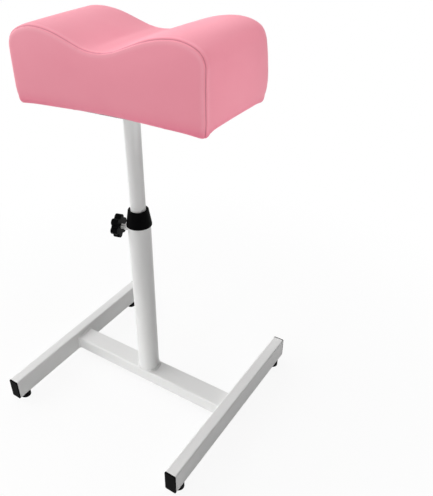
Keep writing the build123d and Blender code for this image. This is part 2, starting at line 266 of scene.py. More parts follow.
class Shader(Wiring):
    """The node tree of one finish."""

    def __init__(self, name: str) -> None:
        """Starts an empty material.

        Args:
            name: The material's name.
        """
        self.material = bpy.data.materials.new(name)
        self.material.use_nodes = True
        self.material.node_tree.nodes.clear()
        super().__init__(self.material.node_tree)
        self.place = self.node("ShaderNodeTexCoord").outputs["Object"]

    def stretched(self, x: float, y: float, z: float) -> bpy.types.NodeSocket:
        """Returns the object's coordinates with each axis scaled."""
        mapping = self.node("ShaderNodeMapping", None, {"Vector": self.place, "Scale": (x, y, z)})
        return mapping.outputs["Vector"]

    def noise(self, grain: float, detail: float = 2.0, place: bpy.types.NodeSocket | None = None) -> Reading:
        """Returns noise around one half, with blots of a size in metres and a number of finer layers."""
        sockets = {"Vector": place or self.place, "Scale": 1 / grain, "Detail": detail}
        return self.read("ShaderNodeTexNoise", 0, None, sockets)

    def pebbles(self, grain: float) -> Reading:
        """Returns the distance to the nearest border between pebbles of a size in metres."""
        sockets = {"Vector": self.place, "Scale": 1 / grain}
        return self.read("ShaderNodeTexVoronoi", "Distance", {"feature": "DISTANCE_TO_EDGE"}, sockets)

    def attribute(self, name: str) -> Reading:
        """Returns a number kept on the mesh's points."""
        settings = {"attribute_type": "GEOMETRY", "attribute_name": name}
        return self.read("ShaderNodeAttribute", "Fac", settings)

    def mix(self, share: Number, first: Any, second: Any) -> bpy.types.NodeSocket:
        """Mixes two colours.

        Args:
            share: 0 for the first colour and 1 for the second.
            first: A colour or a socket.
            second: A colour or a socket.

        Returns:
            The mixed colour.
        """
        sockets = {"Factor_Float": share, "A_Color": first, "B_Color": second}
        node = self.node("ShaderNodeMix", {"data_type": "RGBA"}, sockets)
        return next(socket for socket in node.outputs if socket.identifier == "Result_Color")

    def bump(self, height: Reading, depth: float, strength: float = 1.0) -> bpy.types.NodeSocket:
        """Returns a normal tilted by a height of 0 to 1, where 1 stands for a depth in metres."""
        sockets = {"Height": height, "Distance": depth, "Strength": strength}
        return self.node("ShaderNodeBump", None, sockets).outputs["Normal"]

    def finish(self, sockets: dict[str, Any]) -> bpy.types.Material:
        """Closes the material with a Principled shader.

        Args:
            sockets: The shader's inputs.

        Returns:
            The finished material.
        """
        shader = self.node("ShaderNodeBsdfPrincipled", None, sockets)
        self.node("ShaderNodeOutputMaterial", None, {"Surface": shader.outputs[0]})
        return self.material


class Growth(Wiring):
    """A Geometry Nodes tree with named sizes, whose result becomes a plain mesh."""

    KINDS = {float: "NodeSocketFloat", int: "NodeSocketInt"}

    def __init__(self, name: str, sizes: dict[str, float | int | bpy.types.Object]) -> None:
        """Starts a tree.

        Args:
            name: The tree's name.
            sizes: Its named inputs with their values.
        """
        super().__init__(bpy.data.node_groups.new(name, "GeometryNodeTree"))
        face = self.tree.interface
        face.new_socket(name="Geometry", in_out="INPUT", socket_type="NodeSocketGeometry")
        face.new_socket(name="Geometry", in_out="OUTPUT", socket_type="NodeSocketGeometry")
        self.values: dict[str, Any] = {}
        for label, value in sizes.items():
            kind = self.KINDS.get(type(value), "NodeSocketObject")
            made = face.new_socket(name=label, in_out="INPUT", socket_type=kind)
            self.values[made.identifier] = value
        self.start = self.node("NodeGroupInput")

    def size(self, label: str) -> Reading:
        """Returns the named input."""
        return Reading(self, self.start.outputs[label])

    def wires(self) -> bpy.types.NodeSocket:
        """Returns the seed's wires as curves."""
        return self.node("GeometryNodeMeshToCurve", None, {"Mesh": self.start.outputs["Geometry"]}).outputs[0]

    def tube(self, curve: bpy.types.NodeSocket, radius: str) -> bpy.types.Node:
        """Sweeps a round profile along a curve.

        Args:
            curve: The curve.
            radius: The label of the size that is the profile's radius. The size "Sides" is its sides.

        Returns:
            The node that holds the closed tube.
        """
        sockets = {"Resolution": self.size("Sides"), "Radius": self.size(radius)}
        ring = self.node("GeometryNodeCurvePrimitiveCircle", None, sockets).outputs[0]
        sockets = {"Curve": curve, "Profile Curve": ring, "Fill Caps": True}
        return self.node("GeometryNodeCurveToMesh", None, sockets)

    def scatter(self, spots: bpy.types.NodeSocket, sockets: dict[str, Any]) -> bpy.types.NodeSocket:
        """Returns the instances put on points. The sockets say which, how turned and how large."""
        return self.node("GeometryNodeInstanceOnPoints", None, {"Points": spots, **sockets}).outputs[0]

    def close(self, geometry: bpy.types.NodeSocket, material: bpy.types.Material) -> None:
        """Ends the tree.

        Args:
            geometry: What the tree has made.
            material: The material it all gets.
        """
        real = self.node("GeometryNodeRealizeInstances", None, {"Geometry": geometry})
        smooth = self.node("GeometryNodeSetShadeSmooth", None, {"Geometry": real.outputs[0]})
        sockets = {"Geometry": smooth.outputs[0], "Material": material}
        dressed = self.node("GeometryNodeSetMaterial", None, sockets)
        self.node("NodeGroupOutput", None, {"Geometry": dressed.outputs[0]})

    def grow(self, name: str, seed: bpy.types.Object) -> bpy.types.Object:
        """Runs the tree on a seed object, which is used up.

        Args:
            name: The grown piece's name.
            seed: The path or the points that the tree starts from.

        Returns:
            The grown piece as a plain mesh.
        """
        modifier = seed.modifiers.new("growth", "NODES")
        modifier.node_group = self.tree
        for identifier, value in self.values.items():
            modifier[identifier] = value
        graph = bpy.context.evaluated_depsgraph_get()
        mesh = bpy.data.meshes.new_from_object(seed.evaluated_get(graph))
        bpy.data.objects.remove(seed)
        return place_mesh(name, mesh)


# Mesh helpers


def place_mesh(name: str, mesh: bpy.types.Mesh) -> bpy.types.Object:
    """Puts a mesh into the scene as an object at the origin.

    Args:
        name: The object's name.
        mesh: Its mesh.

    Returns:
        The object.
    """
    piece = bpy.data.objects.new(name, mesh)
    bpy.context.scene.collection.objects.link(piece)
    return piece


def build_piece(
    name: str,
    points: np.ndarray,
    faces: Sequence[Sequence[int]],
    material: bpy.types.Material | None = None,
    crease: float = 180.0,
) -> bpy.types.Object:
    """Makes an object from points and faces, with its normals turned outwards.

    Args:
        name: The object's name.
        points: Its points, one row each.
        faces: Point numbers of each face.
        material: Its finish.
        crease: The angle in degrees above which an edge is sharp.

    Returns:
        The new object.
    """
    mesh = bpy.data.meshes.new(name)
    mesh.from_pydata(np.asarray(points, float).tolist(), [], [list(map(int, face)) for face in faces])
    shape = bmesh.new()
    shape.from_mesh(mesh)
    bmesh.ops.recalc_face_normals(shape, faces=shape.faces)
    for face in shape.faces:
        face.smooth = True
    for edge in shape.edges:
        edge.smooth = edge.calc_face_angle(0.0) < math.radians(crease)
    shape.to_mesh(mesh)
    shape.free()
    if material:
        mesh.materials.append(material)
    return place_mesh(name, mesh)


def seed_paths(paths: Paths, closed: bool = False) -> bpy.types.Object:
    """Makes a wire mesh that a tree can follow.

    Args:
        paths: The points of each path.
        closed: Whether each path's end joins its start.

    Returns:
        The wire object.
    """
    points: list[tuple[float, ...]] = []
    edges = []
    for path in paths:
        first, count = len(points), len(path)
        edges += [(first + k, first + (k + 1) % count) for k in range(count if closed else count - 1)]
        points += [tuple(map(float, point)) for point in path]
    mesh = bpy.data.meshes.new("seed")
    mesh.from_pydata(points, edges, [])
    return place_mesh("seed", mesh)


def grid_faces(numbers: np.ndarray, flip: bool = False) -> list[list[int]]:
    """Makes the square faces of a grid of point numbers.

    Args:
        numbers: Point numbers in rows and columns.
        flip: Whether the faces are turned over.

    Returns:
        The faces. A side that has shrunk to a point leaves a triangle.
    """
    corners = [numbers[:-1, :-1], numbers[1:, :-1], numbers[1:, 1:], numbers[:-1, 1:]]
    if flip:
        corners.reverse()
    faces = np.stack(corners, -1).reshape(-1, 4)
    return [list(dict.fromkeys(face)) for face in faces.tolist() if len(set(face)) > 2]


def weld(points: np.ndarray, reach: float = 0.00002) -> tuple[np.ndarray, np.ndarray]:
    """Merges points that share a place.

    Args:
        points: One row a point.
        reach: How near two points are one.

    Returns:
        The kept points, and for each given point the number of the kept one.
    """
    tree = KDTree(len(points))
    for number, point in enumerate(points):
        tree.insert(point, number)
    tree.balance()
    owner = np.full(len(points), -1)
    kept = []
    for number, point in enumerate(points):
        if owner[number] < 0:
            for _, near, _ in tree.find_range(point, reach):
                if owner[near] < 0:
                    owner[near] = len(kept)
            kept.append(number)
    return points[kept], owner


def level(plan: np.ndarray, height: float | np.ndarray) -> np.ndarray:
    """Returns flat points lifted to a height, or each to its own."""
    return np.column_stack([plan, np.broadcast_to(height, len(plan))])


def circle_points(radius: float, height: float, degrees: np.ndarray) -> np.ndarray:
    """Returns points at a height on a circle round the Z axis, one for each angle."""
    angles = np.radians(degrees)
    return level(radius * np.column_stack([np.cos(angles), np.sin(angles)]), height)


def graded(total: float, first: float, growth: float, largest: float, both_ends: bool) -> np.ndarray:
    """Spaces stations along a length, close together at its start, or at both ends.

    Args:
        total: The length.
        first: The first step.
        growth: How much longer each step is than the one before.
        largest: The longest step.
        both_ends: Whether the far end is close-set as well.

    Returns:
        The stations as shares of the length, from 0 to 1.
    """
    reach = total / 2 if both_ends else total
    stations = [0.0]
    step = first
    while stations[-1] < reach:
        stations.append(stations[-1] + step)
        step = min(step * growth, largest)
    shares = np.array(stations) / stations[-1]
    if not both_ends:
        return shares
    return np.concatenate([shares / 2, 1 - shares[-2::-1] / 2])


def ramp(value: np.ndarray, start: float, end: float) -> np.ndarray:
    """Returns 0 up to the start, 1 from the end on and the share of the way between them."""
    return np.clip((value - start) / (end - start), 0, 1)


def bell(value: np.ndarray, middle: float, width: float) -> np.ndarray:
    """Returns a bell curve that is 1 at the middle and falls off over the width."""
    return np.exp(-(((value - middle) / width) ** 2))


def fade(value: np.ndarray, reach: float) -> np.ndarray:
    """Returns 1 up to a value of zero, and beyond it a fall to about a third over each reach."""
    return np.exp(-np.maximum(value, 0) / reach)


def tube_faces(rings: int, sides: int, first: int = 0) -> tuple[np.ndarray, list[list[int]]]:
    """Numbers the points of a tube ring by ring and joins them up.

    Args:
        rings: How many rings it has.
        sides: How many points a ring has.
        first: The first point's number.

    Returns:
        The point numbers, a row for each ring, and the faces.
    """
    numbers = np.arange(rings * sides).reshape(rings, sides) + first
    return numbers, grid_faces(np.hstack([numbers, numbers[:, :1]]))


def spline_weights(coarse: np.ndarray, fine: np.ndarray) -> np.ndarray:
    """Finds the weights that carry values from coarse stations to fine ones on a natural spline.

    Args:
        coarse: The stations that have values.
        fine: The stations that need them.

    Returns:
        A matrix with a row for each fine station.
    """
    count = len(coarse)
    gap = np.diff(coarse)
    left = np.eye(count)
    right = np.zeros((count, count))
    for k in range(1, count - 1):
        left[k, k - 1 : k + 2] = (gap[k - 1] / 6, (gap[k - 1] + gap[k]) / 3, gap[k] / 6)
        right[k, k - 1 : k + 2] = (1 / gap[k - 1], -1 / gap[k - 1] - 1 / gap[k], 1 / gap[k])
    bend = np.linalg.solve(left, right)
    k = np.clip(np.searchsorted(coarse, fine, side="right") - 1, 0, count - 2)
    high = (fine - coarse[k]) / gap[k]
    low = 1 - high
    unit = np.eye(count)
    curve_low = ((low**3 - low) * gap[k] ** 2 / 6)[:, None]
    curve_high = ((high**3 - high) * gap[k] ** 2 / 6)[:, None]
    straight = low[:, None] * unit[k] + high[:, None] * unit[k + 1]
    return straight + curve_low * bend[k] + curve_high * bend[k + 1]


# Finishes


class Finish(Protocol):
    """Anything that makes a material."""

    def make(self) -> bpy.types.Material:
        """Returns the material."""


@dataclass(frozen=True)
class PowderCoat:
    """Baked white powder coat with a faint orange peel."""

    colour: Colour = paint(229, 229, 228)
    cloud: Colour = paint(214, 214, 213)
    roughness: float = 0.38
    peel: float = 1.3 * MM
    peel_depth: float = 0.012 * MM

    def make(self) -> bpy.types.Material:
        """Wires up the finish.

        Returns:
            The material.
        """
        shader = Shader("white powder coat")
        cloudy = shader.noise(60 * MM)
        normal = shader.bump(shader.noise(self.peel), self.peel_depth)
        tone = shader.mix(cloudy.between(0.3, 0.7) * 0.05, self.colour, self.cloud)
        roughness = cloudy.around(self.roughness, 0.08)
        return shader.finish({"Base Color": tone, "Roughness": roughness, "Normal": normal})


@dataclass(frozen=True)
class MouldedPlastic:
    """Black moulded plastic with a fine matt grain."""

    name: str = "black moulded plastic"
    colour: Colour = paint(4, 4, 5)
    roughness: float = 0.5
    gloss: float = 0.022
    grain: float = 0.7 * MM
    grain_depth: float = 0.02 * MM

    def make(self) -> bpy.types.Material:
        """Wires up the finish.

        Returns:
            The material.
        """
        shader = Shader(self.name)
        rubbed = shader.noise(9 * MM, 3)
        normal = shader.bump(shader.noise(self.grain), self.grain_depth)
        return shader.finish(
            {
                "Base Color": self.colour,
                "Roughness": rubbed.around(self.roughness, 0.16),
                "Normal": normal,
                "Specular IOR Level": self.gloss,
            }
        )


@dataclass(frozen=True)
class StretchedVinyl:
    """Pink vinyl leather over foam, darker towards its lower edge, with a painted highlight on the rolled
    borders beside the seams and painted shade in the seams' grooves.
    """

    colour: Colour = paint(241, 147, 164)
    # The darker tone towards the cushion's lower edge.
    lower_edge_tone: Colour = paint(232, 120, 144)
    # Painted highlight: the paler tone on the rolled borders beside the seams.
    rolled: Colour = paint(252, 178, 192)
    # Painted shade: the darker tone in the seams' grooves.
    seam: Colour = paint(160, 78, 96)
    roughness: float = 0.5
    grain: float = 1.1 * MM
    grain_depth: float = 0.05 * MM

    def make(self) -> bpy.types.Material:
        """Wires up the finish.

        Returns:
            The material.
        """
        shader = Shader("pink vinyl leather")
        cloudy = shader.noise(45 * MM, 3)
        pull = shader.attribute("pull")
        # Darker towards the lower edge, with a random cloudiness.
        tone = shader.mix(pull * 0.9 + (cloudy - 0.5) * 0.2, self.colour, self.lower_edge_tone)
        # Painted highlight on the rolled borders beside the seams.
        tone = shader.mix(shader.attribute("roll") * 0.3, tone, self.rolled)
        # Painted shade in the seams' grooves.
        tone = shader.mix(shader.attribute("seam") * 0.55, tone, self.seam)
        creases = shader.pebbles(self.grain).between(0.0, 0.28) * 0.7 + shader.noise(0.5 * MM) * 0.3
        normal = shader.bump(creases, self.grain_depth, 0.5)
        roughness = cloudy.around(self.roughness, 0.1)
        return shader.finish({"Base Color": tone, "Roughness": roughness, "Normal": normal})


@dataclass(frozen=True)
class Thread:
    """Polyester sewing thread."""

    colour: Colour = paint(214, 118, 138)

    def make(self) -> bpy.types.Material:
        """Wires up the finish.

        Returns:
            The material.
        """
        shader = Shader("sewing thread")
        twist = shader.bump(shader.noise(0.35 * MM), 0.05 * MM)
        return shader.finish({"Base Color": self.colour, "Roughness": 0.7, "Normal": twist})


@dataclass(frozen=True)
class ZincSteel:
    """Zinc-plated steel."""

    colour: Colour = paint(205, 205, 202)
    dull: Colour = paint(188, 189, 190)
    roughness: float = 0.34

    def make(self) -> bpy.types.Material:
        """Wires up the finish.

        Returns:
            The material.
        """
        shader = Shader("zinc plated steel")
        spangle = shader.noise(2.5 * MM, 3)
        tone = shader.mix(spangle.between(0.3, 0.7), self.dull, self.colour)
        roughness = spangle.around(self.roughness, 0.2)
        return shader.finish({"Base Color": tone, "Metallic": 1.0, "Roughness": roughness})


@dataclass(frozen=True)
class Plywood:
    """Birch plywood: plies on its edges and a long grain on its faces."""

    light: Colour = paint(214, 184, 140)
    dark: Colour = paint(170, 128, 84)
    ply: float = 1.5 * MM

    def make(self) -> bpy.types.Material:
        """Wires up the finish.

        Returns:
            The material.
        """
        shader = Shader("birch plywood")
        height = shader.read("ShaderNodeSeparateXYZ", "Z", None, {0: shader.place})
        plies = (height * (math.pi / self.ply)).sine() * 0.5 + 0.5
        grain = shader.noise(9 * MM, 6, shader.stretched(0.08, 1.0, 1.0))
        tone = shader.mix(plies * 0.4 + grain * 0.5, self.light, self.dark)
        return shader.finish({"Base Color": tone, "Roughness": 0.75, "Normal": shader.bump(grain, 0.1 * MM)})


@dataclass(frozen=True)
class DustCloth:
    """Black spun cloth under the seat."""

    colour: Colour = paint(34, 34, 36)
    fibre: Colour = paint(50, 50, 52)

    def make(self) -> bpy.types.Material:
        """Wires up the finish.

        Returns:
            The material.
        """
        shader = Shader("black dust cloth")
        fibres = shader.noise(1.2 * MM, 5)
        dimples = shader.pebbles(2.4 * MM).between(0.0, 0.2)
        tone = shader.mix(fibres.between(0.35, 0.65), self.colour, self.fibre)
        normal = shader.bump(fibres * 0.5 + dimples * 0.5, 0.12 * MM)
        return shader.finish({"Base Color": tone, "Roughness": 0.95, "Normal": normal})


@dataclass(frozen=True)
class Nylon:
    """Natural nylon, pale and slightly worn."""

    colour: Colour = paint(226, 222, 206)
    roughness: float = 0.45

    def make(self) -> bpy.types.Material:
        """Wires up the finish.

        Returns:
            The material.
        """
        shader = Shader("natural nylon")
        wear = shader.noise(5 * MM, 3).around(self.roughness, 0.2)
        return shader.finish({"Base Color": self.colour, "Roughness": wear})


@dataclass
class Workshop:
    """Makes each finish once and dresses the frame's nodes."""

    nodes: dict[str, bpy.types.Object]
    materials: dict[str, bpy.types.Material] = field(default_factory=dict)

    def material(self, finish: Finish) -> bpy.types.Material:
        """Makes a finish's material on first use and keeps it.

        Args:
            finish: The finish.

        Returns:
            Its material.
        """
        key = repr(finish)
        if key not in self.materials:
            self.materials[key] = finish.make()
        return self.materials[key]

    def dress(self, finish: Finish, *names: str) -> None:
        """Gives frame nodes a finish.

        Args:
            finish: The finish.
            names: The nodes' names.
        """
        for name in names:
            slots = self.nodes[name].data.materials
            slots.clear()
            slots.append(self.material(finish))
            LOG.info("%s: %s", name, type(finish).__name__)

    def hang(self, piece: bpy.types.Object, body: Body, slot: Slot, stands_for: Sequence[str] = ()) -> None:
        """Lets a new piece ride on a body.

        Args:
            piece: The piece.
            body: The body it moves with.
            slot: The material slot its finish belongs to. It is not used.
            stands_for: The frame nodes that it replaces.
        """
        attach(piece, body.value)
        if stands_for:
            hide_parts(*stands_for)
        LOG.info("%s: %d faces on %s", piece.name, len(piece.data.polygons), body.value)


# Weld beads


@dataclass
class WeldBead:
    """A rippled bead laid along a path, under the powder coat."""

    radius: float = 1.9 * MM
    ripple: float = 2.1 * MM
    ripple_share: float = 0.09
    ripple_step: float = 0.2
    sides: int = 12

    def lay(self, name: str, paths: Paths, closed: bool, material: bpy.types.Material) -> bpy.types.Object:
        """Lays one bead.

        Args:
            name: The bead's name.
            paths: The points of each stretch's centreline.
            closed: Whether the stretches run full circle.
            material: Its finish.

        Returns:
            The bead.
        """
        sizes = {"Radius": self.radius, "Ripple": self.ripple, "Share": self.ripple_share}
        tree = Growth("weld bead", {**sizes, "Sides": self.sides})
        sockets = {"Curve": tree.wires(), "Length": tree.size("Ripple") * self.ripple_step}
        fine = tree.node("GeometryNodeResampleCurve", {"mode": "LENGTH"}, sockets)
        along = tree.read("GeometryNodeSplineParameter", "Length")
        swell = (along / tree.size("Ripple") * (2 * math.pi)).sine() * tree.size("Share") + 1.0
        tube = tree.tube(fine.outputs[0], "Radius")
        if "Scale" in tube.inputs:
            tree.plug(tube, "Scale", swell)
        tree.close(tube.outputs[0], material)
        return tree.grow(name, seed_paths(paths, closed))


# The welded base


@dataclass
class BaseFrame:
    """Legs, cross bar and lower post, their welds, end caps and feet."""

    workshop: Workshop
    leg_inner_x: float = 167.5 * MM
    bar_width: float = 38 * MM
    bar_bottom: float = 14.5 * MM
    bar_top: float = 40.5 * MM
    bar_corner: float = 3 * MM
    post_radius: float = 19 * MM
    post_bead_half: float = 62.0
    bar_bead_sink: float = 0.3
    corner_points: int = 7
    arc_points: int = 40
    bead: WeldBead = field(default_factory=WeldBead)
    coat: PowderCoat = field(default_factory=PowderCoat)
    plastic: MouldedPlastic = field(default_factory=MouldedPlastic)

    def build(self) -> None:
        """Dresses the base and lays its weld beads."""
        self.workshop.dress(self.coat, "left_leg", "right_leg", "cross_bar", "lower_post")
        ends = [f"{end}_{side}" for end in ("front", "back") for side in ("left", "right")]
        self.workshop.dress(self.plastic, *(f"{end}_cap" for end in ends), *(f"{end}_foot" for end in ends))
        for sign, side in ((-1, "left"), (1, "right")):
            self._bar_bead(sign, side)
        self._post_bead()

    def _bar_bead(self, sign: int, side: str) -> None:
        """Lays the bead round the bar's end.

        Args:
            sign: -1 for the left leg and 1 for the right one.
            side: The side's name.
        """
        middle = (self.bar_bottom + self.bar_top) / 2
        half_y = self.bar_width / 2
        half_z = (self.bar_top - self.bar_bottom) / 2
        x = sign * (self.leg_inner_x - self.bar_bead_sink * self.bead.radius)
        corner = self.bar_corner
        path = []
        for quarter in range(4):
            cy = (half_y - corner) * (1, -1, -1, 1)[quarter]
            cz = (half_z - corner) * (1, 1, -1, -1)[quarter]
            for turn in np.radians(np.linspace(0, 90, self.corner_points) + 90 * quarter):
                path.append((x, cy + corner * math.cos(turn), middle + cz + corner * math.sin(turn)))
        piece = self.bead.lay(f"{side}_bar_bead", [path], True, self.workshop.material(self.coat))
        self.workshop.hang(piece, Body.BASE, Slot.POWDER_COAT, [f"{side}_bar_weld"])

    def _post_bead(self) -> None:
        """Lays the bead at the post's foot, where the bar's top reaches past the post."""
        radius = self.post_radius + SINK * self.bead.radius
        height = self.bar_top + SINK * self.bead.radius
        spread = self.post_bead_half
        turns = [np.linspace(middle - spread, middle + spread, self.arc_points) for middle in (0, 180)]
        arcs = [circle_points(radius, height, turn) for turn in turns]
        piece = self.bead.lay("post_bead", arcs, False, self.workshop.material(self.coat))
        self.workshop.hang(piece, Body.BASE, Slot.POWDER_COAT, ["post_weld"])


# The post, its collar and its clamp


@dataclass
class ClampScrew:
    """The zinc-plated screw between the boss and the knob, with its thread cut."""

    workshop: Workshop
    height: float = 340 * MM
    azimuth: float = -167.0
    start: float = 16.45 * MM
    end: float = 41.2 * MM
    radius: float = 3.97 * MM
    thread_depth: float = 0.62 * MM
    pitch: float = 1.25 * MM
    bore_radius: float = 1.55 * MM
    bore_depth: float = 3.05 * MM
    crest_level: float = 1.25
    flank_slope: float = 1.5
    tip: float = 0.6 * MM
    tip_share: float = 0.85
    sides: int = 40
    rings_a_turn: int = 8

    def build(self) -> None:
        """Turns the screw and puts it on the knob's body."""
        ring_step = self.pitch / self.rings_a_turn
        stations = np.arange(self.start, self.end, ring_step)
        turn = np.linspace(0, 2 * math.pi, self.sides, endpoint=False)
        along, angle = np.meshgrid(stations, turn, indexing="ij")
        phase = (along / self.pitch - angle / (2 * math.pi)) % 1.0
        crest = np.clip(self.crest_level - np.abs(2 * phase - 1) * self.flank_slope, 0, 1)
        near_tip = ramp(along, self.start, self.start + self.tip)
        taper = self.tip_share + (1 - self.tip_share) * near_tip
        radius = (self.radius - self.thread_depth * (1 - crest)) * taper
        bore = np.array([[self.start + self.bore_depth], [self.start]])
        depth = np.vstack([bore + 0 * turn, along])
        radius = np.vstack([np.full((2, self.sides), self.bore_radius), radius])
        azimuth = math.radians(self.azimuth)
        out = np.array([math.cos(azimuth), math.sin(azimuth), 0])
        side = np.array([-out[1], out[0], 0])
        points = out * depth[..., None] + side * (radius * np.cos(turn))[..., None]
        points[..., 2] += radius * np.sin(turn) + self.height
        numbers, faces = tube_faces(len(points), self.sides)
        faces += [numbers[0].tolist(), numbers[-1].tolist()]
        zinc = self.workshop.material(ZincSteel())
        piece = build_piece("threaded_clamp_screw", points.reshape(-1, 3), faces, zinc, crease=40)
        self.workshop.hang(piece, Body.KNOB, Slot.ZINC, ["clamp_screw"])


@dataclass
class Column:
    """The telescopic post: its collar, boss, knob, pad, upper tube and slider."""

    workshop: Workshop
    post_radius: float = 12.5 * MM
    bead_points: int = 60
    bead: WeldBead = field(default_factory=WeldBead)

    def build(self) -> None:
        """Dresses the post's pieces, cuts the screw's thread and lays the bead under the plate."""
        coat = PowderCoat()
        self.workshop.dress(coat, "clamp_boss", "upper_post")
        sunk = SINK * self.bead.radius
        turns = np.linspace(0, 360, self.bead_points, endpoint=False)
        circle = circle_points(self.post_radius + sunk, PLATE_BOTTOM - sunk, turns)
        piece = self.bead.lay("plate_bead", [circle], True, self.workshop.material(coat))
        self.workshop.hang(piece, Body.SEAT, Slot.POWDER_COAT, ["plate_weld"])
        self.workshop.dress(MouldedPlastic(), "collar")
        self.workshop.dress(MouldedPlastic("black knob plastic", paint(4, 4, 5), 0.4, 0.03), "star_knob")
        self.workshop.dress(Nylon(), "clamp_pad", "post_slider")
        ClampScrew(self.workshop).build()


# The cushion


@dataclass
class WaveOutline:
    """The cushion's side outline: a run of arcs and lines from the dip to the lower edge, and its mirror."""

    length: float = 328.5 * MM
    crest_height: float = 110.5 * MM
    crest_offset: float = 115 * MM
    dip_height: float = 84 * MM
    dip_radius: float = 100 * MM
    wave_slope: float = 21.0
    shoulder_turn: float = 28.5
    corner_radius: float = 25.5 * MM
    tuck_height: float = 22 * MM
    tuck_depth: float = 4.5 * MM
    edge_height: float = 10 * MM
    step: float = 0.2 * MM
    corner_middle: float = field(init=False)
    edge_run: float = field(init=False)
    run: np.ndarray = field(init=False)
    places: np.ndarray = field(init=False)
    headings: np.ndarray = field(init=False)

    def __post_init__(self) -> None:
        """Traces the half outline."""
        slope = math.radians(self.wave_slope)
        rise = self.crest_height - self.dip_height
        share = 1 - math.cos(slope)
        arc_radii = (self.crest_offset * math.sin(slope) - rise * math.cos(slope)) / share
        slope_run = rise * math.sin(slope) / share - self.crest_offset
        turn = math.radians(self.shoulder_turn)
        shoulder_run = self.length / 2 - self.crest_offset - self.corner_radius * (1 - math.sin(turn))
        shoulder_radius = shoulder_run / math.sin(turn)
        corner_turn = math.radians(90) - turn
        shoulder_drop = shoulder_radius * (1 - math.cos(turn))
        corner_drop = self.corner_radius * math.cos(turn)
        end_run = self.crest_height - shoulder_drop - corner_drop - self.tuck_height
        tuck_radius = (self.tuck_height**2 + self.tuck_depth**2) / (2 * self.tuck_depth)
        tuck_turn = math.asin(self.tuck_height / tuck_radius)
        moves = [
            (self.dip_radius * slope, slope),
            (slope_run, 0.0),
            ((arc_radii - self.dip_radius) * slope, -slope),
            (shoulder_radius * turn, -turn),
            (self.corner_radius * corner_turn, -corner_turn),
            (end_run, 0.0),
            (tuck_radius * tuck_turn, -tuck_turn),
        ]
        self.corner_middle = sum(run for run, _ in moves[:4]) + moves[4][0] / 2
        place = np.array([0.0, self.dip_height])
        heading = 0.0
        run = [0.0]
        places = [place]
        headings = [heading]
        for length, bend in moves:
            count = max(2, math.ceil(length / self.step))
            for _ in range(count):
                middle = heading + bend / count / 2
                place = place + length / count * np.array([math.cos(middle), math.sin(middle)])
                heading += bend / count
                run.append(run[-1] + length / count)
                places.append(place)
                headings.append(heading)
        self.run = np.array(run)
        self.places = np.array(places)
        self.headings = np.array(headings)
        falling = self.run > self.corner_middle
        self.edge_run = float(np.interp(-self.edge_height, -self.places[falling, 1], self.run[falling]))

    def at(self, run: np.ndarray) -> tuple[np.ndarray, np.ndarray]:
        """Finds places on the outline.

        Args:
            run: Distances along the outline from the dip, below zero to the left.

        Returns:
            The places and the outward normals, each with x and z in its last axis.
        """
        distance = np.abs(run)
        sign = np.where(run < 0, -1.0, 1.0)
        x = np.interp(distance, self.run, self.places[:, 0]) * sign
        z = np.interp(distance, self.run, self.places[:, 1])
        heading = np.interp(distance, self.run, self.headings)
        return np.stack([x, z], -1), np.stack([-np.sin(heading) * sign, np.cos(heading)], -1)


@dataclass
class Stitching:
    """A row of lockstitches that lies in a seam's groove."""

    pitch: float = 3.4 * MM
    length: float = 2.7 * MM
    radius: float = 0.24 * MM
    segments: int = 6
    rings: int = 5

    def sew(self, name: str, paths: Sequence[np.ndarray], material: bpy.types.Material) -> bpy.types.Object:
        """Sews the stitches.

        Args:
            name: The piece's name.
            paths: The points of each seam.
            material: The thread's finish.

        Returns:
            All stitches as one piece.
        """
        sizes = {"Pitch": self.pitch, "Length": self.length, "Radius": self.radius}
        tree = Growth("seam stitches", sizes)
        sockets = {"Curve": tree.wires(), "Length": tree.size("Pitch")}
        spots = tree.node("GeometryNodeCurveToPoints", {"mode": "LENGTH"}, sockets).outputs
        sockets = {"Segments": self.segments, "Rings": self.rings, "Radius": tree.size("Radius")}
        bead = tree.node("GeometryNodeMeshUVSphere", None, sockets).outputs[0]
        stretch = tree.size("Length") * (0.5 / self.radius)
        shape = tree.node("ShaderNodeCombineXYZ", None, {"X": stretch, "Y": 1.0, "Z": 1.0}).outputs[0]
        sockets = {"Vector": spots["Tangent"]}
        turn = tree.node("FunctionNodeAlignEulerToVector", {"axis": "X"}, sockets).outputs[0]
        placed = tree.scatter(spots["Points"], {"Instance": bead, "Rotation": turn, "Scale": shape})
        tree.close(placed, material)
        return tree.grow(name, seed_paths(paths))


@dataclass
class Stations:
    """Where the cushion's surface is sampled: across the strip, along the top seam and down the side seam."""

    across: np.ndarray
    along: np.ndarray
    down: np.ndarray


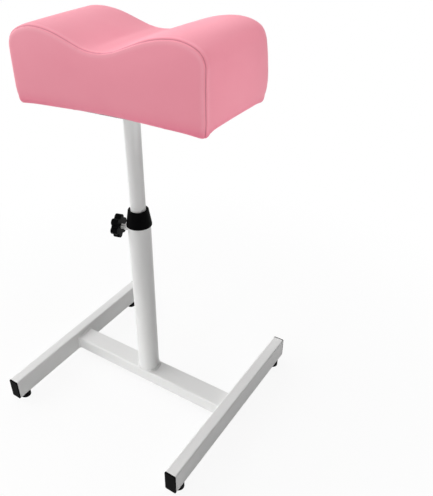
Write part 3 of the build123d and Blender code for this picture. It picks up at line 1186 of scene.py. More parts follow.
@dataclass
class Cushion:
    """The saddle-shaped cushion: vinyl sewn from a strip and two long panels, drawn over foam and a board."""

    workshop: Workshop
    outline: WaveOutline = field(default_factory=WaveOutline)
    width: float = 156 * MM
    bottom: float = 548.3 * MM
    panel_crown: float = 3.5 * MM
    panel_draw: float = 3 * MM
    seam_inset: float = 2.6 * MM
    panel_roll: float = 7 * MM
    strip_roll: float = 10 * MM
    seam_drop: float = 3 * MM
    seam_drop_dip: float = 0.8 * MM
    slack: float = 0.2 * MM
    back_skew: float = 3.2 * MM
    back_drop: float = 1.6 * MM
    back_belly: float = 2.6 * MM
    back_round: float = 2.6 * MM
    left_belly: float = 1.8 * MM
    side_pull: float = 2.5 * MM
    corner_sag: float = 2.8 * MM
    hem_roll: float = 4.5 * MM
    hem_roll_middle: float = 4.8 * MM
    hem_lift_end: float = 6.5 * MM
    hem_steps: int = 7
    hem_arch: float = 1.5 * MM
    hem_width: float = 25 * MM
    hem_thickness: float = 1.25 * MM
    board_half_length: float = 151.7 * MM
    board_half_width: float = 70.2 * MM
    board_top: float = 13.6 * MM
    board_round: float = 6 * MM
    seam_step: float = 0.45 * MM
    cloth_grid: tuple[int, int, int] = (31, 69, 17)
    pressure: float = 4.0
    frames: int = 20
    swell_cap: float = 4 * MM
    calming: int = 6
    groove_depth: float = 0.6 * MM
    groove_width: float = 0.5 * MM
    welt_height: float = 0.35 * MM
    thread_rise: float = 0.05 * MM
    stitches: Stitching = field(default_factory=Stitching)
    seed: int = 7
    seam_samples: int = 8000
    puckers: int = 46
    pucker_least: float = 0.12 * MM
    pucker_more: float = 0.30 * MM
    hem_pulls: int = 40
    corner_lines: np.ndarray = field(init=False)

    @property
    def origin(self) -> np.ndarray:
        """Returns the middle of the cushion's underside in the frame's axes."""
        return np.array([*CUSHION_CENTRE, self.bottom])

    @property
    def half(self) -> np.ndarray:
        """Returns half the cushion's length and half its width."""
        return np.array([self.outline.length / 2, self.width / 2])

    def build(self) -> None:
        """Builds, swells and sews the cushion."""
        first, corner = self.seam_step, self.outline.corner_middle
        fine = Stations(
            graded(self.width - 2 * self.seam_inset, first, 1.2, 3.2 * MM, True) * 2 - 1,
            graded(2 * corner, first, 1.25, 1.5 * MM, True),
            graded(self.outline.edge_run - corner, first, 1.2, 2.2 * MM, False),
        )
        patches = self._patches(fine)
        across, along, down = self.cloth_grid
        coarse = Stations(np.linspace(-1, 1, across), np.linspace(0, 1, along), np.linspace(0, 1, down))
        patches = self._swell(patches, fine, coarse)
        points, faces = self._close(patches)
        welded, owner = weld(points)
        faces = [list(dict.fromkeys(owner[face].tolist())) for face in map(np.array, faces)]
        faces = [face for face in faces if len(face) > 2]
        piece = build_piece("cushion", welded, faces, self.workshop.material(StretchedVinyl()))
        paths = self._sew(piece)
        stands_for = ["cover_front_panel", "cover_back_panel", "cover_top_strip", "foam_core"]
        self.workshop.hang(piece, Body.SEAT, Slot.VINYL, stands_for)
        thread = self.stitches.sew("seam_stitches", paths, self.workshop.material(Thread()))
        self.workshop.hang(thread, Body.SEAT, Slot.VINYL)

    def _face_y(self, place: np.ndarray) -> np.ndarray:
        """Finds how far out the long panels stand.

        Args:
            place: Places on the panel, with x and z in the last axis.

        Returns:
            The distance from the cushion's middle plane.
        """
        x, z = place[..., 0], place[..., 1]
        middle = self.outline.crest_height / 2
        lean = np.where(z < middle, self.panel_draw, self.panel_crown) * ((z - middle) / middle) ** 2
        pull = self.side_pull * self._waist(x) * fade(z - self.outline.edge_height, 14 * MM)
        return self.width / 2 - self.slack - lean - pull

    def _waist(self, x: np.ndarray) -> np.ndarray:
        """Returns 1 halfway along the cushion, falling smoothly to 0 at its ends."""
        return np.cos(np.clip(x / self.outline.length, -0.5, 0.5) * math.pi) ** 2

    def _seam(self, run: np.ndarray) -> tuple[np.ndarray, np.ndarray]:
        """Finds the seam line on one side.

        Args:
            run: Distances along the outline.

        Returns:
            The seam's x and z, and its distance from the middle plane.
        """
        place, normal = self.outline.at(run)
        sunk = place - normal * (self._drop(place)[:, None] + self.slack)
        return sunk, self._face_y(sunk) - self.seam_inset

    def _drop(self, place: np.ndarray) -> np.ndarray:
        """Finds how far the seam lies below the strip's middle, which is least in the dip.

        Args:
            place: Places on the outline.

        Returns:
            The depth at each place.
        """
        share = ramp(np.abs(place[:, 0]), 20 * MM, 90 * MM)
        share = share**2 * (3 - 2 * share)
        return self.seam_drop_dip + (self.seam_drop - self.seam_drop_dip) * share

    def _runs(self, stations: Stations) -> tuple[np.ndarray, np.ndarray, np.ndarray]:
        """Turns shares into runs along the outline.

        Args:
            stations: Where to sample.

        Returns:
            The runs of the left end, the top and the right end.
        """
        corner, edge = self.outline.corner_middle, self.outline.edge_run
        down = corner + (edge - corner) * stations.down
        return -down[::-1], (2 * stations.along - 1) * corner, down

    def _whole_run(self, stations: Stations) -> np.ndarray:
        """Returns the run from the left end's lower edge over the top to the right end's."""
        left, top, right = self._runs(stations)
        return np.concatenate([left, top[1:-1], right])

    def _patches(self, stations: Stations) -> dict[str, np.ndarray]:
        """Works out the strip and the two panels as grids of points.

        Args:
            stations: Where to sample.

        Returns:
            The grids, around the cushion's own centre at its underside.
        """
        _, top, right = self._runs(stations)
        run = self._whole_run(stations)
        place, normal = self.outline.at(run)
        seam_place, seam_y = self._seam(run)
        reach = (1 - np.abs(stations.across)) * self.width / 2
        offset = -self.slack - self._drop(place)[:, None] * self._rolled(reach / self.strip_roll)[None, :]
        spot = place[:, None, :] + normal[:, None, :] * offset[..., None]
        y = stations.across[None, :] * seam_y[:, None]
        strip = np.stack([spot[..., 0], y, spot[..., 1]], -1)
        grids = {"strip": strip}
        top_xz = self._seam(top)[0]
        left_xz = self._seam(-right)[0]
        right_xz = self._seam(right)[0]
        lower = left_xz[-1] + (right_xz[-1] - left_xz[-1]) * stations.along[:, None]
        a = stations.along[:, None, None]
        b = stations.down[None, :, None]
        flat = (1 - b) * top_xz[:, None] + b * lower[:, None] + (1 - a) * left_xz[None] + a * right_xz[None]
        flat = flat - (1 - a) * ((1 - b) * top_xz[0] + b * lower[0])
        flat = flat - a * ((1 - b) * top_xz[-1] + b * lower[-1])
        inward = self._inset(flat, seam_place)
        for name, side in (("front", -1), ("back", 1)):
            depth = self._face_y(flat) - inward
            grids[name] = np.stack([flat[..., 0], side * depth, flat[..., 1]], -1)
        return {name: self._settle(grid) for name, grid in grids.items()}

    @staticmethod
    def _rolled(share: np.ndarray) -> np.ndarray:
        """Returns a quarter-round fall, from 1 at a share of 0 to 0 at a share of 1 and beyond."""
        return 1 - np.sqrt(1 - (1 - np.clip(share, 0, 1)) ** 2)

    def _settle(self, spots: np.ndarray) -> np.ndarray:
        """Leans the wave a little at the back, where the sewn cover sits askew, and fills out its ends.

        Args:
            spots: Points around the cushion's own centre.

        Returns:
            The points moved, most at the back of the dip and the right crest.
        """
        x, y, z = spots[..., 0], spots[..., 1], spots[..., 2]
        depth = ramp(y, -self.width / 2, self.width / 2)
        back = depth * ramp(z, 8 * MM, 38 * MM)
        middle = ramp(x, -120 * MM, -30 * MM) * ramp(x, 165 * MM, 115 * MM)
        right = ramp(x, 20 * MM, 80 * MM) * ramp(x, 165 * MM, 125 * MM)
        low_left = ramp(x, -120 * MM, -160 * MM) * bell(z, 16 * MM, 22 * MM)
        low_end = ramp(x, 120 * MM, 160 * MM) * bell(z, 30 * MM, 25 * MM)
        high_end = ramp(x, 115 * MM, 160 * MM) * bell(z, 88 * MM, 18 * MM)
        moved = spots.copy()
        moved[..., 0] += self.back_skew * back * middle + self.back_belly * depth * low_end
        moved[..., 0] -= self.back_round * back * high_end + self.left_belly * low_left
        moved[..., 2] -= self.back_drop * back * right
        return moved

    def _inset(self, flat: np.ndarray, seam: np.ndarray) -> np.ndarray:
        """Finds how far the panel's rolled border falls back from its face.

        Args:
            flat: The panel's x and z.
            seam: The seam's x and z.

        Returns:
            The fall at each point, which is the seam's own inset on the seam.
        """
        steps = np.diff(seam, axis=0)[:, None] * np.array([0.0, 0.25, 0.5, 0.75])[:, None]
        dense = np.concatenate([(seam[:-1, None] + steps).reshape(-1, 2), seam[-1:]])
        tree = KDTree(len(dense))
        for number, (x, z) in enumerate(dense):
            tree.insert((x, 0.0, z), number)
        tree.balance()
        away = np.array([tree.find((x, 0.0, z))[2] for x, z in flat.reshape(-1, 2)]).reshape(flat.shape[:2])
        away[:, 0] = 0.0
        away[0, :] = 0.0
        away[-1, :] = 0.0
        return self.seam_inset * self._rolled(away / self.panel_roll)

    def _swell(
        self, patches: dict[str, np.ndarray], fine: Stations, coarse: Stations
    ) -> dict[str, np.ndarray]:
        """Blows the sewn cover up against its seams and carries the swell to the fine grids.

        Args:
            patches: The fine grids.
            fine: Their stations.
            coarse: The stations of the simulated cover.

        Returns:
            The fine grids, swollen.
        """
        start = self._patches(coarse)
        names = list(start)
        points = np.concatenate([start[name].reshape(-1, 3) for name in names])
        welded, owner = weld(points)
        faces: list[list[int]] = []
        hold = np.zeros(len(welded))
        numbers = {}
        count = 0
        for name in names:
            shape = start[name].shape[:2]
            numbers[name] = owner[count : count + shape[0] * shape[1]].reshape(shape)
            count += shape[0] * shape[1]
            faces += grid_faces(numbers[name], flip=name == "front")
        strip = numbers["strip"]
        hold[strip[:, [0, -1]].ravel()] = 1.0
        hold[strip[[0, -1], :].ravel()] = 1.0
        for name in ("front", "back"):
            hold[numbers[name][:, -1]] = 1.0
        moved = self._run_cloth(welded, faces, hold)
        shift = moved - welded
        size = np.linalg.norm(shift, axis=1, keepdims=True)
        LOG.info("cover swells by up to %.1f mm, %.1f mm on average", size.max() / MM, size.mean() / MM)
        shift *= np.minimum(1, self.swell_cap / np.maximum(size, 1e-9))
        fields = {name: self._calmed(shift[numbers[name]]) for name in names}
        strip_pair = (self._whole_run(coarse), self._whole_run(fine)), (coarse.across, fine.across)
        panel_pair = (coarse.along, fine.along), (coarse.down, fine.down)
        swollen = {}
        for name, pair in (("strip", strip_pair), ("front", panel_pair), ("back", panel_pair)):
            rows, columns = (spline_weights(*stations) for stations in pair)
            swollen[name] = patches[name] + np.einsum("ij,jkc,lk->ilc", rows, fields[name], columns)
        return swollen

    def _calmed(self, shift: np.ndarray) -> np.ndarray:
        """Smooths the swell of one patch and leaves its border.

        Args:
            shift: The shift at each point of the patch's grid.

        Returns:
            The smoothed shift.
        """
        calm = shift.copy()
        for _ in range(self.calming):
            around = calm[:-2, 1:-1] + calm[2:, 1:-1] + calm[1:-1, :-2] + calm[1:-1, 2:]
            calm[1:-1, 1:-1] = 0.5 * calm[1:-1, 1:-1] + 0.125 * around
        return calm

    def _run_cloth(self, points: np.ndarray, faces: list[list[int]], hold: np.ndarray) -> np.ndarray:
        """Runs Blender's cloth with pressure inside.

        Args:
            points: The cover's points.
            faces: Its faces.
            hold: How firmly each point is held, from 0 to 1.

        Returns:
            Where the points end up.
        """
        cover = build_piece("cover under test", points, faces)
        group = cover.vertex_groups.new(name="hold")
        for weight in np.unique(hold[hold > 0]):
            group.add(np.flatnonzero(hold == weight).tolist(), float(weight), "REPLACE")
        cloth = cover.modifiers.new("cloth", "CLOTH")
        settings = cloth.settings
        for name, value in CLOTH.items():
            setattr(settings, name, value)
        settings.uniform_pressure_force = self.pressure
        settings.effector_weights.gravity = 0
        cloth.collision_settings.use_collision = False
        cloth.point_cache.frame_start = 1
        cloth.point_cache.frame_end = self.frames
        scene = bpy.context.scene
        for frame in range(1, self.frames + 1):
            scene.frame_set(frame)
        graph = bpy.context.evaluated_depsgraph_get()
        result = cover.evaluated_get(graph).data
        moved = np.zeros(len(points) * 3)
        result.vertices.foreach_get("co", moved)
        bpy.data.objects.remove(cover)
        scene.frame_set(1)
        return moved.reshape(-1, 3)

    def _close(self, patches: dict[str, np.ndarray]) -> tuple[np.ndarray, list[list[int]]]:
        """Adds the rolled lower edge, the hem and the board's pocket.

        Args:
            patches: The strip and the two panels.

        Returns:
            The points, in the frame's axes, and the faces of the closed form.
        """
        strip, front, back = patches["strip"], patches["front"], patches["back"]
        loop = np.concatenate([front[:, -1], strip[-1, 1:], back[::-1, -1][1:], strip[0, ::-1][1:-1]])
        hem = loop[:, :2] * (1 - self.hem_width / self.half)
        way = hem - loop[:, :2]
        way /= np.linalg.norm(way, axis=1, keepdims=True)
        waist = self._waist(loop[:, 0])
        out = np.abs(loop[:, 1])
        on_panel = ramp(out, self.half[1] - 14 * MM, self.half[1] - 6 * MM)
        roll = self.hem_roll + self.hem_roll_middle * waist * on_panel
        lift = self.hem_lift_end * (1 - on_panel) * (1 - np.clip(out / self.half[1], 0, 1) ** 2.5)
        rings = [loop]
        for angle in np.radians(np.linspace(90 / self.hem_steps, 90, self.hem_steps)):
            plan = loop[:, :2] + way * (roll * (1 - math.cos(angle)))[:, None]
            height = self.outline.edge_height * (1 - math.sin(angle)) + lift * math.sin(angle) ** 2
            height = height + self.hem_arch * waist * on_panel * math.sin(2 * angle)
            rings.append(level(plan, height))
        rolled = rings[-1]
        for share in (0.2, 0.45, 0.7, 1.0):
            rings.append(level(rolled[:, :2] + (hem - rolled[:, :2]) * share, 0.0))
        board = np.array([self.board_half_length, self.board_half_width])
        rings.append(level(hem, self.hem_thickness))
        for angle in ROUND_STEPS:
            reach = board - self.board_round * (1 - math.sin(angle))
            pocket = np.clip(loop[:, :2], -reach, reach)
            rings.append(level(pocket, self.hem_thickness + self.board_round * (1 - math.cos(angle))))
        rings.append(level(pocket, self.board_top))
        skirt = np.array(rings)
        skirt = np.concatenate([skirt, skirt[:, :1]], axis=1)
        faces: list[list[int]] = []
        points = []
        count = 0
        for grid, flip in ((strip, False), (front, True), (back, False), (skirt, False)):
            numbers = np.arange(count, count + grid.shape[0] * grid.shape[1]).reshape(grid.shape[:2])
            faces += grid_faces(numbers, flip)
            points.append(grid.reshape(-1, 3))
            count += numbers.size
        faces.append(numbers[-1, :-1].tolist())
        marks = np.cumsum([0, len(front) - 1, strip.shape[1] - 1, len(back) - 1])
        self.corner_lines = np.stack([self._sag(skirt[: self.hem_steps, mark]) for mark in marks])
        every = self._sag(np.concatenate(points))
        return every + self.origin, faces

    def _sag(self, spots: np.ndarray) -> np.ndarray:
        """Lets the front lower corners hang and draws the back ones up as much.

        Args:
            spots: Points around the cushion's own centre.

        Returns:
            The points, shifted near the corners.
        """
        gap = self.half - np.abs(spots[:, :2])
        corner = np.exp(-((gap / (24 * MM, 13 * MM)) ** 2).sum(axis=1))
        outer = np.clip(1.6 - gap.min(axis=1) / (9 * MM), 0, 1)
        front = -np.sign(spots[:, 1])
        low = fade(spots[:, 2], 12 * MM)
        lowered = spots.copy()
        lowered[:, 2] -= self.corner_sag * front * corner * outer * low
        return lowered

    def _sew(self, piece: bpy.types.Object) -> list[np.ndarray]:
        """Draws the seams in, raises the welts beside them and puckers the vinyl.

        Args:
            piece: The closed cushion.

        Returns:
            The bottom of each seam's groove, where its thread lies.
        """
        mesh = piece.data
        points = np.zeros(len(mesh.vertices) * 3)
        normals = np.zeros(len(mesh.vertices) * 3)
        mesh.vertices.foreach_get("co", points)
        mesh.vertex_normals.foreach_get("vector", normals)
        points, normals = points.reshape(-1, 3), normals.reshape(-1, 3)
        local = points - self.origin
        height = local[:, 2]
        away, along, seam_out = self._near_seam(local)
        on_panel = np.abs(local[:, 1]) > seam_out
        shift = self._wrinkle(local, away, along, on_panel)
        mesh.vertices.foreach_set("co", (points + normals * shift[:, None]).ravel())
        rise = ramp(height, 0, 12 * MM)
        tones = {
            # Mask that darkens the vinyl towards the lower edge.
            "pull": np.clip(1.1 * fade(height - 3 * MM, 7 * MM), 0, 1),
            # Mask of the painted highlight on the rolled borders beside the seams, weaker on the strip.
            "roll": bell(away, 3.6 * MM, 2.2 * MM) * np.where(on_panel, 1.0, 0.7) * rise,
            # Mask of the painted shade in the seams' grooves.
            "seam": bell(away, 0, self.groove_width),
        }
        for name, values in tones.items():
            attribute = mesh.attributes.new(name, "FLOAT", "POINT")
            attribute.data.foreach_set("value", values.astype(np.float32))
        mesh.update()
        laid = points + normals * (shift + self.thread_rise)[:, None]
        in_seam = (away < 0.12 * MM) & (height > self.outline.edge_height)
        paths = []
        for side in (-1, 1):
            chosen = np.flatnonzero(in_seam & (local[:, 1] * side > 0))
            paths.append(laid[chosen[np.argsort(along[chosen])]])
        return paths

    def _near_seam(self, local: np.ndarray) -> tuple[np.ndarray, np.ndarray, np.ndarray]:
        """Finds the seam's nearest spot for each point.

        Args:
            local: Points around the cushion's own centre.

        Returns:
            The distance to the seam, the run of its nearest spot, and how far out that spot lies.
        """
        run = np.linspace(-self.outline.edge_run, self.outline.edge_run, self.seam_samples)
        seam_place, seam_y = self._seam(run)
        tree = KDTree(2 * len(run) + len(self.corner_lines) * self.corner_lines.shape[1])
        for side in (-1, 1):
            line = self._settle(np.column_stack([seam_place[:, 0], side * seam_y, seam_place[:, 1]]))
            for k, spot in enumerate(line):
                tree.insert(spot, k)
        for line in self.corner_lines:
            for spot in line:
                tree.insert(spot, 0 if spot[0] < 0 else len(run) - 1)
        tree.balance()
        found = [tree.find(point)[1:] for point in local]
        nearest = np.array([number for number, _ in found])
        return np.array([distance for _, distance in found]), run[nearest], seam_y[nearest]

    def _wrinkle(
        self, local: np.ndarray, away: np.ndarray, along: np.ndarray, on_panel: np.ndarray
    ) -> np.ndarray:
        """Works out the seam's groove and welts, the puckers beside it and the pulls above the hem.

        Args:
            local: Points around the cushion's own centre.
            away: Their distances to the seam.
            along: The runs of the seam's nearest spots.
            on_panel: Which points lie on the long panels.

        Returns:
            How far each point moves outwards.
        """
        rng = np.random.default_rng(self.seed)
        groove = self.groove_depth * bell(away, 0, self.groove_width)
        shift = self.welt_height * bell(away, 2.4 * MM, 1.4 * MM) - groove
        pucker = np.zeros(len(local))
        for _ in range(self.puckers):
            spot = rng.uniform(-self.outline.edge_run, self.outline.edge_run)
            near_dip = bell(abs(spot), 20 * MM, 30 * MM)
            size = rng.uniform(0.25, 1.0) * (self.pucker_least + self.pucker_more * near_dip)
            slant = rng.uniform(-0.5, 0.5)
            width = rng.uniform(1.6, 3.2) * MM
            pucker -= size * bell(along - slant * away, spot, width) * fade(away, rng.uniform(5, 12) * MM)
        height = local[:, 2]
        round_hem = np.where(np.abs(local[:, 1]) > self.width / 2 - 12 * MM, local[:, 0], local[:, 1] + 0.5)
        pulls = np.zeros(len(local))
        for _ in range(self.hem_pulls):
            spot = rng.choice([rng.uniform(-0.15, 0.15), 0.5 + rng.uniform(-0.07, 0.07)])
            slant = rng.uniform(-0.9, 0.9)
            width = rng.uniform(2.0, 4.5) * MM
            pulls += rng.uniform(-0.55, 0.35) * MM * bell(round_hem - slant * height, spot, width)
        shift += pucker * np.where(on_panel, 1.0, 0.6) + pulls * fade(height, 9 * MM) * (height > 0.4 * MM)
        shift[height < 0.3 * MM] = 0.0
        return shift


# The cushion's underside


@dataclass
class PanScrew:
    """A pan-head screw with a cross recess, its point upwards."""

    head_radius: float = 4.8 * MM
    head_height: float = 2.4 * MM
    head_edge: float = 1.1 * MM
    shaft_radius: float = 2.45 * MM
    shaft_length: float = 11 * MM
    point_length: float = 1.5 * MM
    recess_reach: float = 2.7 * MM
    recess_width: float = 1.15 * MM
    recess_depth: float = 1.5 * MM
    recess_taper: float = 0.62
    point_share: float = 0.35
    edge_share: float = 0.3
    sides: int = 24
    turn_seed: int = 3

    def drive(self, name: str, spots: Sequence[Any], material: bpy.types.Material) -> bpy.types.Object:
        """Drives one screw up into each spot, each turned a little otherwise.

        Args:
            name: The piece's name.
            spots: Where the heads bear.
            material: The screws' finish.

        Returns:
            All screws as one piece.
        """
        one = self._turn_one()
        tree = Growth("driven screws", {"Screw": one, "Seed": self.turn_seed})
        shape = tree.node("GeometryNodeObjectInfo", None, {"Object": tree.size("Screw")})
        sockets = {"Min": (0, 0, 0), "Max": (0, 0, math.pi), "Seed": tree.size("Seed")}
        turn = tree.node("FunctionNodeRandomValue", {"data_type": "FLOAT_VECTOR"}, sockets).outputs[0]
        sockets = {"Instance": shape.outputs["Geometry"], "Rotation": turn}
        tree.close(tree.scatter(tree.start.outputs["Geometry"], sockets), material)
        piece = tree.grow(name, seed_paths([[spot] for spot in spots]))
        bpy.data.objects.remove(one)
        return piece

    def _turn_one(self) -> bpy.types.Object:
        """Builds one screw around its own axis, its head's bearing face at height 0.

        Returns:
            The screw.
        """
        face = -self.head_height
        cut = self.edge_share * self.head_edge
        profile = [
            (self.shaft_length, self.shaft_radius * self.point_share),
            (self.shaft_length - self.point_length, self.shaft_radius),
            (0.0, self.shaft_radius),
            (0.0, self.head_radius),
            (face + self.head_edge, self.head_radius),
            (face + cut, self.head_radius - cut),
            (face, self.head_radius - self.head_edge),
        ]
        turn = np.linspace(0, 360, self.sides, endpoint=False)
        rings = [circle_points(radius, height, turn) for height, radius in profile]
        half = self.recess_width / 2
        arm = [(self.recess_reach, half), (half, half), (half, self.recess_reach)]
        cross = []
        for quarter in range(4):
            c, s = (1, 0, -1, 0)[quarter], (0, 1, 0, -1)[quarter]
            cross += [(x * c - y * s, x * s + y * c) for x, y in arm]
        count = len(cross)
        pit = [
            level(np.array(cross) * share, face + depth)
            for share, depth in ((1.0, 0.0), (self.recess_taper, self.recess_depth))
        ]
        numbers, faces = tube_faces(len(profile), self.sides)
        faces.append(numbers[0].tolist())
        first = numbers.size
        last = numbers[-1]
        for k in range(count):
            rim = [int(last[(2 * k + step) % self.sides]) for step in (1, 2, 3)]
            faces.append(rim + [first + (k + 1) % count, first + k])
        sunk, pit_faces = tube_faces(2, count, first)
        faces += pit_faces + [sunk[-1].tolist()]
        return build_piece("one screw", np.vstack(rings + pit), faces, crease=35)


@dataclass
class SeatUnderside:
    """The board, the plate with its screws, the dust cover and its staples."""

    workshop: Workshop
    board_half_length: float = 151.3 * MM
    board_half_width: float = 69.8 * MM
    board_corner: float = 8 * MM
    board_round: float = 6 * MM
    board_bottom: float = 549.5 * MM
    board_thickness: float = 12 * MM
    cloth_half_length: float = 148.2 * MM
    cloth_half_width: float = 64 * MM
    cloth_corner: float = 6 * MM
    cloth_top: float = 548.2 * MM
    cloth_thickness: float = 0.6 * MM
    cloth_sag: float = 0.5 * MM
    cloth_wave: float = 0.35
    upper_sag: float = 0.35
    cut_half: float = 41.2 * MM
    cut_corner: float = 6 * MM
    screw_offset: float = 30 * MM
    staple_bottom: float = 546.5 * MM
    staple_top: float = 554.5 * MM
    staple_crown: float = 10 * MM
    staple_wire: float = 0.5 * MM
    staple_bend: float = 0.9 * MM
    staple_step: float = 24 * MM
    staples_long: int = 12
    staples_short: int = 5
    long_row_y: float = 62 * MM
    short_row_x: float = 147.5 * MM
    screw: PanScrew = field(default_factory=PanScrew)

    def build(self) -> None:
        """Makes the board and the dust cover, dresses the plate, and drives the screws and staples."""
        self.workshop.hang(self._plane_board(), Body.SEAT, Slot.PLYWOOD, ["base_board"])
        self.workshop.hang(self._cut_cloth(), Body.SEAT, Slot.DUST_CLOTH, ["dust_cover"])
        self.workshop.dress(PowderCoat(), "mounting_plate")
        zinc = self.workshop.material(ZincSteel())
        places = (-self.screw_offset, self.screw_offset)
        spots = [(x, y, PLATE_BOTTOM) for x in places for y in places]
        piece = self.screw.drive("cross_recess_screws", spots, zinc)
        self.workshop.hang(piece, Body.SEAT, Slot.ZINC, ["plate_screws"])
        self.workshop.hang(self._bend_staples(zinc), Body.SEAT, Slot.ZINC, ["staples"])

    @staticmethod
    def _loop(half: Sequence[float], corner: float, steps: int) -> np.ndarray:
        """Traces a rectangle with round corners.

        Args:
            half: Half its length and half its width.
            corner: The corners' radius.
            steps: Points along each side and each corner.

        Returns:
            The points around its own middle, starting where the back right corner's round begins.
        """
        turns = np.radians(np.linspace(0, 90, steps, endpoint=False))
        shares = np.linspace(0, 1, steps, endpoint=False)[:, None]
        middles = np.array([(1, 1), (-1, 1), (-1, -1), (1, -1)]) * (np.array(half) - corner)
        rounds = []
        for quarter, middle in enumerate(middles):
            angles = turns + math.radians(90 * quarter)
            arc = middle + corner * np.column_stack([np.cos(angles), np.sin(angles)])
            way = math.radians(90 * (quarter + 1))
            out = corner * np.array([math.cos(way), math.sin(way)])
            rounds += [arc, middle + out + (middles[(quarter + 1) % 4] - middle) * shares]
        return np.vstack(rounds)

    def _cut_cloth(self) -> bpy.types.Object:
        """Cuts the dust cover with its opening for the plate, and lets it sag between the staples.

        Returns:
            The dust cover.
        """
        outer = self._loop((self.cloth_half_length, self.cloth_half_width), self.cloth_corner, 12)
        inner = self._loop((self.cut_half, self.cut_half), self.cut_corner, 12) - CUSHION_CENTRE
        rings = []
        for share in np.linspace(0, 1, 14):
            plan = outer + (inner - outer) * share
            sag = self.cloth_sag * math.sin(math.pi * share) ** 2
            wave = np.sin(plan[:, 0] / (5 * MM)) * np.cos(plan[:, 1] / (6 * MM))
            rings.append(level(plan, sag * (1 + self.cloth_wave * (wave - 1))))
        place = np.array([*CUSHION_CENTRE, self.cloth_top])
        upper = [ring * (1, 1, -self.upper_sag) + place for ring in rings]
        lower = [ring * (1, 1, -1) + place - (0, 0, self.cloth_thickness) for ring in rings]
        sheets = upper + lower[::-1] + upper[:1]
        count = len(outer)
        numbers = np.arange((len(sheets) - 1) * count).reshape(-1, count)
        numbers = np.vstack([numbers, numbers[:1]])
        faces = grid_faces(np.hstack([numbers, numbers[:, :1]]))
        cloth = self.workshop.material(DustCloth())
        return build_piece("stapled_dust_cloth", np.vstack(sheets[:-1]), faces, cloth, crease=60)

    def _plane_board(self) -> bpy.types.Object:
        """Builds the plywood board with its lower edges rounded over for the vinyl.

        Returns:
            The board.
        """
        half = np.array([self.board_half_length, self.board_half_width])
        loop = self._loop(half, self.board_corner, 6)
        rings = []
        for angle in ROUND_STEPS:
            plan = loop * (1 - self.board_round * (1 - math.sin(angle)) / half)
            height = self.board_bottom + self.board_round * (1 - math.cos(angle))
            rings.append(level(plan + CUSHION_CENTRE, height))
        rings.append(level(loop + CUSHION_CENTRE, self.board_bottom + self.board_thickness))
        numbers, faces = tube_faces(len(rings), len(loop))
        faces += [numbers[0].tolist(), numbers[-1].tolist()]
        plywood = self.workshop.material(Plywood())
        return build_piece("rounded_board", np.vstack(rings), faces, plywood, crease=40)

    def _bend_staples(self, material: bpy.types.Material) -> bpy.types.Object:
        """Bends the staples from round wire.

        Args:
            material: The wire's finish.

        Returns:
            All staples as one piece.
        """
        half = self.staple_crown / 2 - self.staple_wire
        low = self.staple_bottom + self.staple_wire
        turns = np.radians(np.linspace(0, 90, 4))
        out = half - self.staple_bend * (1 - np.sin(turns))
        corner = np.column_stack([out, low + self.staple_bend * (1 - np.cos(turns))])
        right = np.vstack([corner, [(half, self.staple_top)]])
        bent = np.vstack([right[::-1] * (-1, 1), right])
        rows = (
            (self.staples_long, self.long_row_y, np.array([1, 0])),
            (self.staples_short, self.short_row_x, np.array([0, 1])),
        )
        paths = []
        for count, far, way in rows:
            wire = np.column_stack([np.outer(bent[:, 0], way), bent[:, 1]])
            for k in range(count):
                along = (k - (count - 1) / 2) * self.staple_step
                for side in (-1, 1):
                    spot = CUSHION_CENTRE + along * way + side * far * way[::-1]
                    paths.append(wire + np.append(spot, 0.0))
        tree = Growth("staples", {"Wire": self.staple_wire, "Sides": 6})
        tree.close(tree.tube(tree.wires(), "Wire").outputs[0], material)
        return tree.grow("bent_staples", seed_paths(paths))


# The studio


@dataclass(frozen=True)
class Lamp:
    """A round softbox."""

    name: str
    place: tuple[float, float, float]
    aim: tuple[float, float, float]
    size: float
    power: float
    spread: float = 180.0


LAMPS = (
    Lamp("left key", (-1.3, -0.7, 1.1), (0, 0, 0.35), 1.0, 5.5),
    Lamp("front fill", (0.2, -1.8, 0.8), (0, 0, 0.35), 1.0, 3.8),
    Lamp("low front", (-0.1, -1.2, 0.35), (0, 0, 0.03), 0.3, 0.085, 25.0),
    Lamp("cushion side", (0.75, -0.05, 0.33), (0.17, 0.0, 0.63), 0.3, 0.18, 50.0),
    Lamp("shoulder", (0.75, -0.1, 1.15), (0.14, 0, 0.63), 0.3, 0.062, 35.0),
    Lamp("top", (0.1, 0.1, 2.3), (0, 0, 0.3), 1.4, 14.3),
)


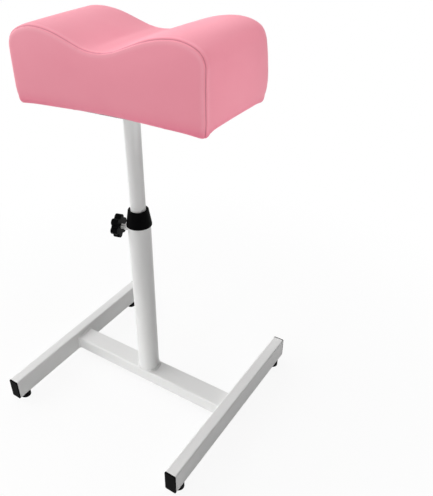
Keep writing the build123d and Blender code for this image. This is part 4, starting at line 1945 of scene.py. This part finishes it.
@dataclass
class Studio:
    """A pale floor, soft lamps and the camera at the photograph's viewing angle."""

    camera_place: tuple[float, float, float] = (0.50156, -0.61634, 0.79974)
    right: tuple[float, float, float] = (0.79362, 0.60485, -0.06579)
    up: tuple[float, float, float] = (-0.2972, 0.47975, 0.82554)
    back: tuple[float, float, float] = (0.53088, -0.63561, 0.5605)
    focal_pixels: float = 562.78
    centre_shift: tuple[float, float] = (-79.96, 21.11)
    sensor: float = 36.0
    floor_size: float = 14.0
    floor_glow: float = 0.9
    shadow_reach: tuple[float, float] = (0.3, 0.9)
    world_light: float = 0.02
    world_left: float = 1.87
    world_top: float = 0.15
    lamps: tuple[Lamp, ...] = LAMPS

    def build(self) -> None:
        """Sets the camera, the floor, the world and the lamps."""
        self._set_camera()
        self._lay_floor()
        self._light_world()
        self._hang_lamps()
        bpy.context.scene.view_settings.view_transform = "Standard"

    def _set_camera(self) -> None:
        """Places the camera."""
        data = bpy.data.cameras.new("photo camera")
        data.sensor_width = self.sensor
        data.sensor_fit = "AUTO"
        data.lens = self.focal_pixels * self.sensor / PHOTO_HEIGHT
        data.shift_x = -self.centre_shift[0] / PHOTO_HEIGHT
        data.shift_y = self.centre_shift[1] / PHOTO_HEIGHT
        data.clip_start = 0.01
        camera = bpy.data.objects.new("photo camera", data)
        rows = Matrix((self.right, self.up, self.back)).transposed().to_4x4()
        camera.matrix_world = Matrix.Translation(self.camera_place) @ rows
        bpy.context.scene.collection.objects.link(camera)
        bpy.context.scene.camera = camera

    def _lay_floor(self) -> None:
        """Lays the floor, white to the camera with a faint shadow, and pale to the lamps."""
        corners = np.array([(-1, -1, 0), (1, -1, 0), (1, 1, 0), (-1, 1, 0)]) * self.floor_size / 2
        floor = build_piece("floor", corners, [(0, 1, 2, 3)])
        shader = Shader("pale floor")
        length = shader.read("ShaderNodeVectorMath", "Value", {"operation": "LENGTH"}, {0: shader.place})
        away = length.between(*self.shadow_reach)
        share = shader.seen_by("Camera", "Glossy") * (away * (1 - self.floor_glow) + self.floor_glow)
        matt = shader.node("ShaderNodeBsdfDiffuse", None, {"Color": paint(240, 240, 240)})
        glow = shader.node("ShaderNodeEmission", None, {"Color": (1, 1, 1, 1), "Strength": 1.0})
        mixed = shader.node("ShaderNodeMixShader", None, {0: share, 1: matt.outputs[0], 2: glow.outputs[0]})
        shader.node("ShaderNodeOutputMaterial", None, {"Surface": mixed.outputs[0]})
        floor.data.materials.append(shader.material)

    def _light_world(self) -> None:
        """Makes the world white to the camera and softly lit to the object."""
        world = bpy.data.worlds.new("studio")
        bpy.context.scene.world = world
        world.use_nodes = True
        world.node_tree.nodes.clear()
        wiring = Wiring(world.node_tree)
        seen = wiring.seen_by("Camera", "Glossy", "Transmission")
        way = {0: wiring.node("ShaderNodeTexCoord").outputs["Generated"]}
        left = (wiring.read("ShaderNodeSeparateXYZ", "X", None, way) * -1.0).at_least(0.0)
        above = wiring.read("ShaderNodeSeparateXYZ", "Z", None, way).at_least(0.0)
        strength = left * self.world_left + above * self.world_top + self.world_light
        soft = wiring.node("ShaderNodeBackground", None, {"Color": (1, 1, 1, 1), "Strength": strength})
        white = wiring.node("ShaderNodeBackground", None, {"Color": (1, 1, 1, 1), "Strength": 1.0})
        mixed = wiring.node("ShaderNodeMixShader", None, {0: seen, 1: soft.outputs[0], 2: white.outputs[0]})
        wiring.node("ShaderNodeOutputWorld", None, {"Surface": mixed.outputs[0]})

    def _hang_lamps(self) -> None:
        """Hangs the soft lamps."""
        for lamp in self.lamps:
            data = bpy.data.lights.new(lamp.name, "AREA")
            data.shape = "DISK"
            data.size = lamp.size
            data.energy = lamp.power
            data.spread = math.radians(lamp.spread)
            hung = bpy.data.objects.new(lamp.name, data)
            hung.location = lamp.place
            aim = Vector(lamp.aim) - Vector(lamp.place)
            hung.rotation_euler = aim.to_track_quat("-Z", "Y").to_euler()
            bpy.context.scene.collection.objects.link(hung)


def main() -> None:
    """Dresses the frame piece by piece and sets the studio up."""
    logging.basicConfig(level=logging.INFO, format="%(message)s")
    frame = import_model()
    workshop = Workshop(frame["nodes"])
    BaseFrame(workshop).build()
    Column(workshop).build()
    SeatUnderside(workshop).build()
    Cushion(workshop).build()
    Studio().build()


if __name__ == "__main__":
    main()
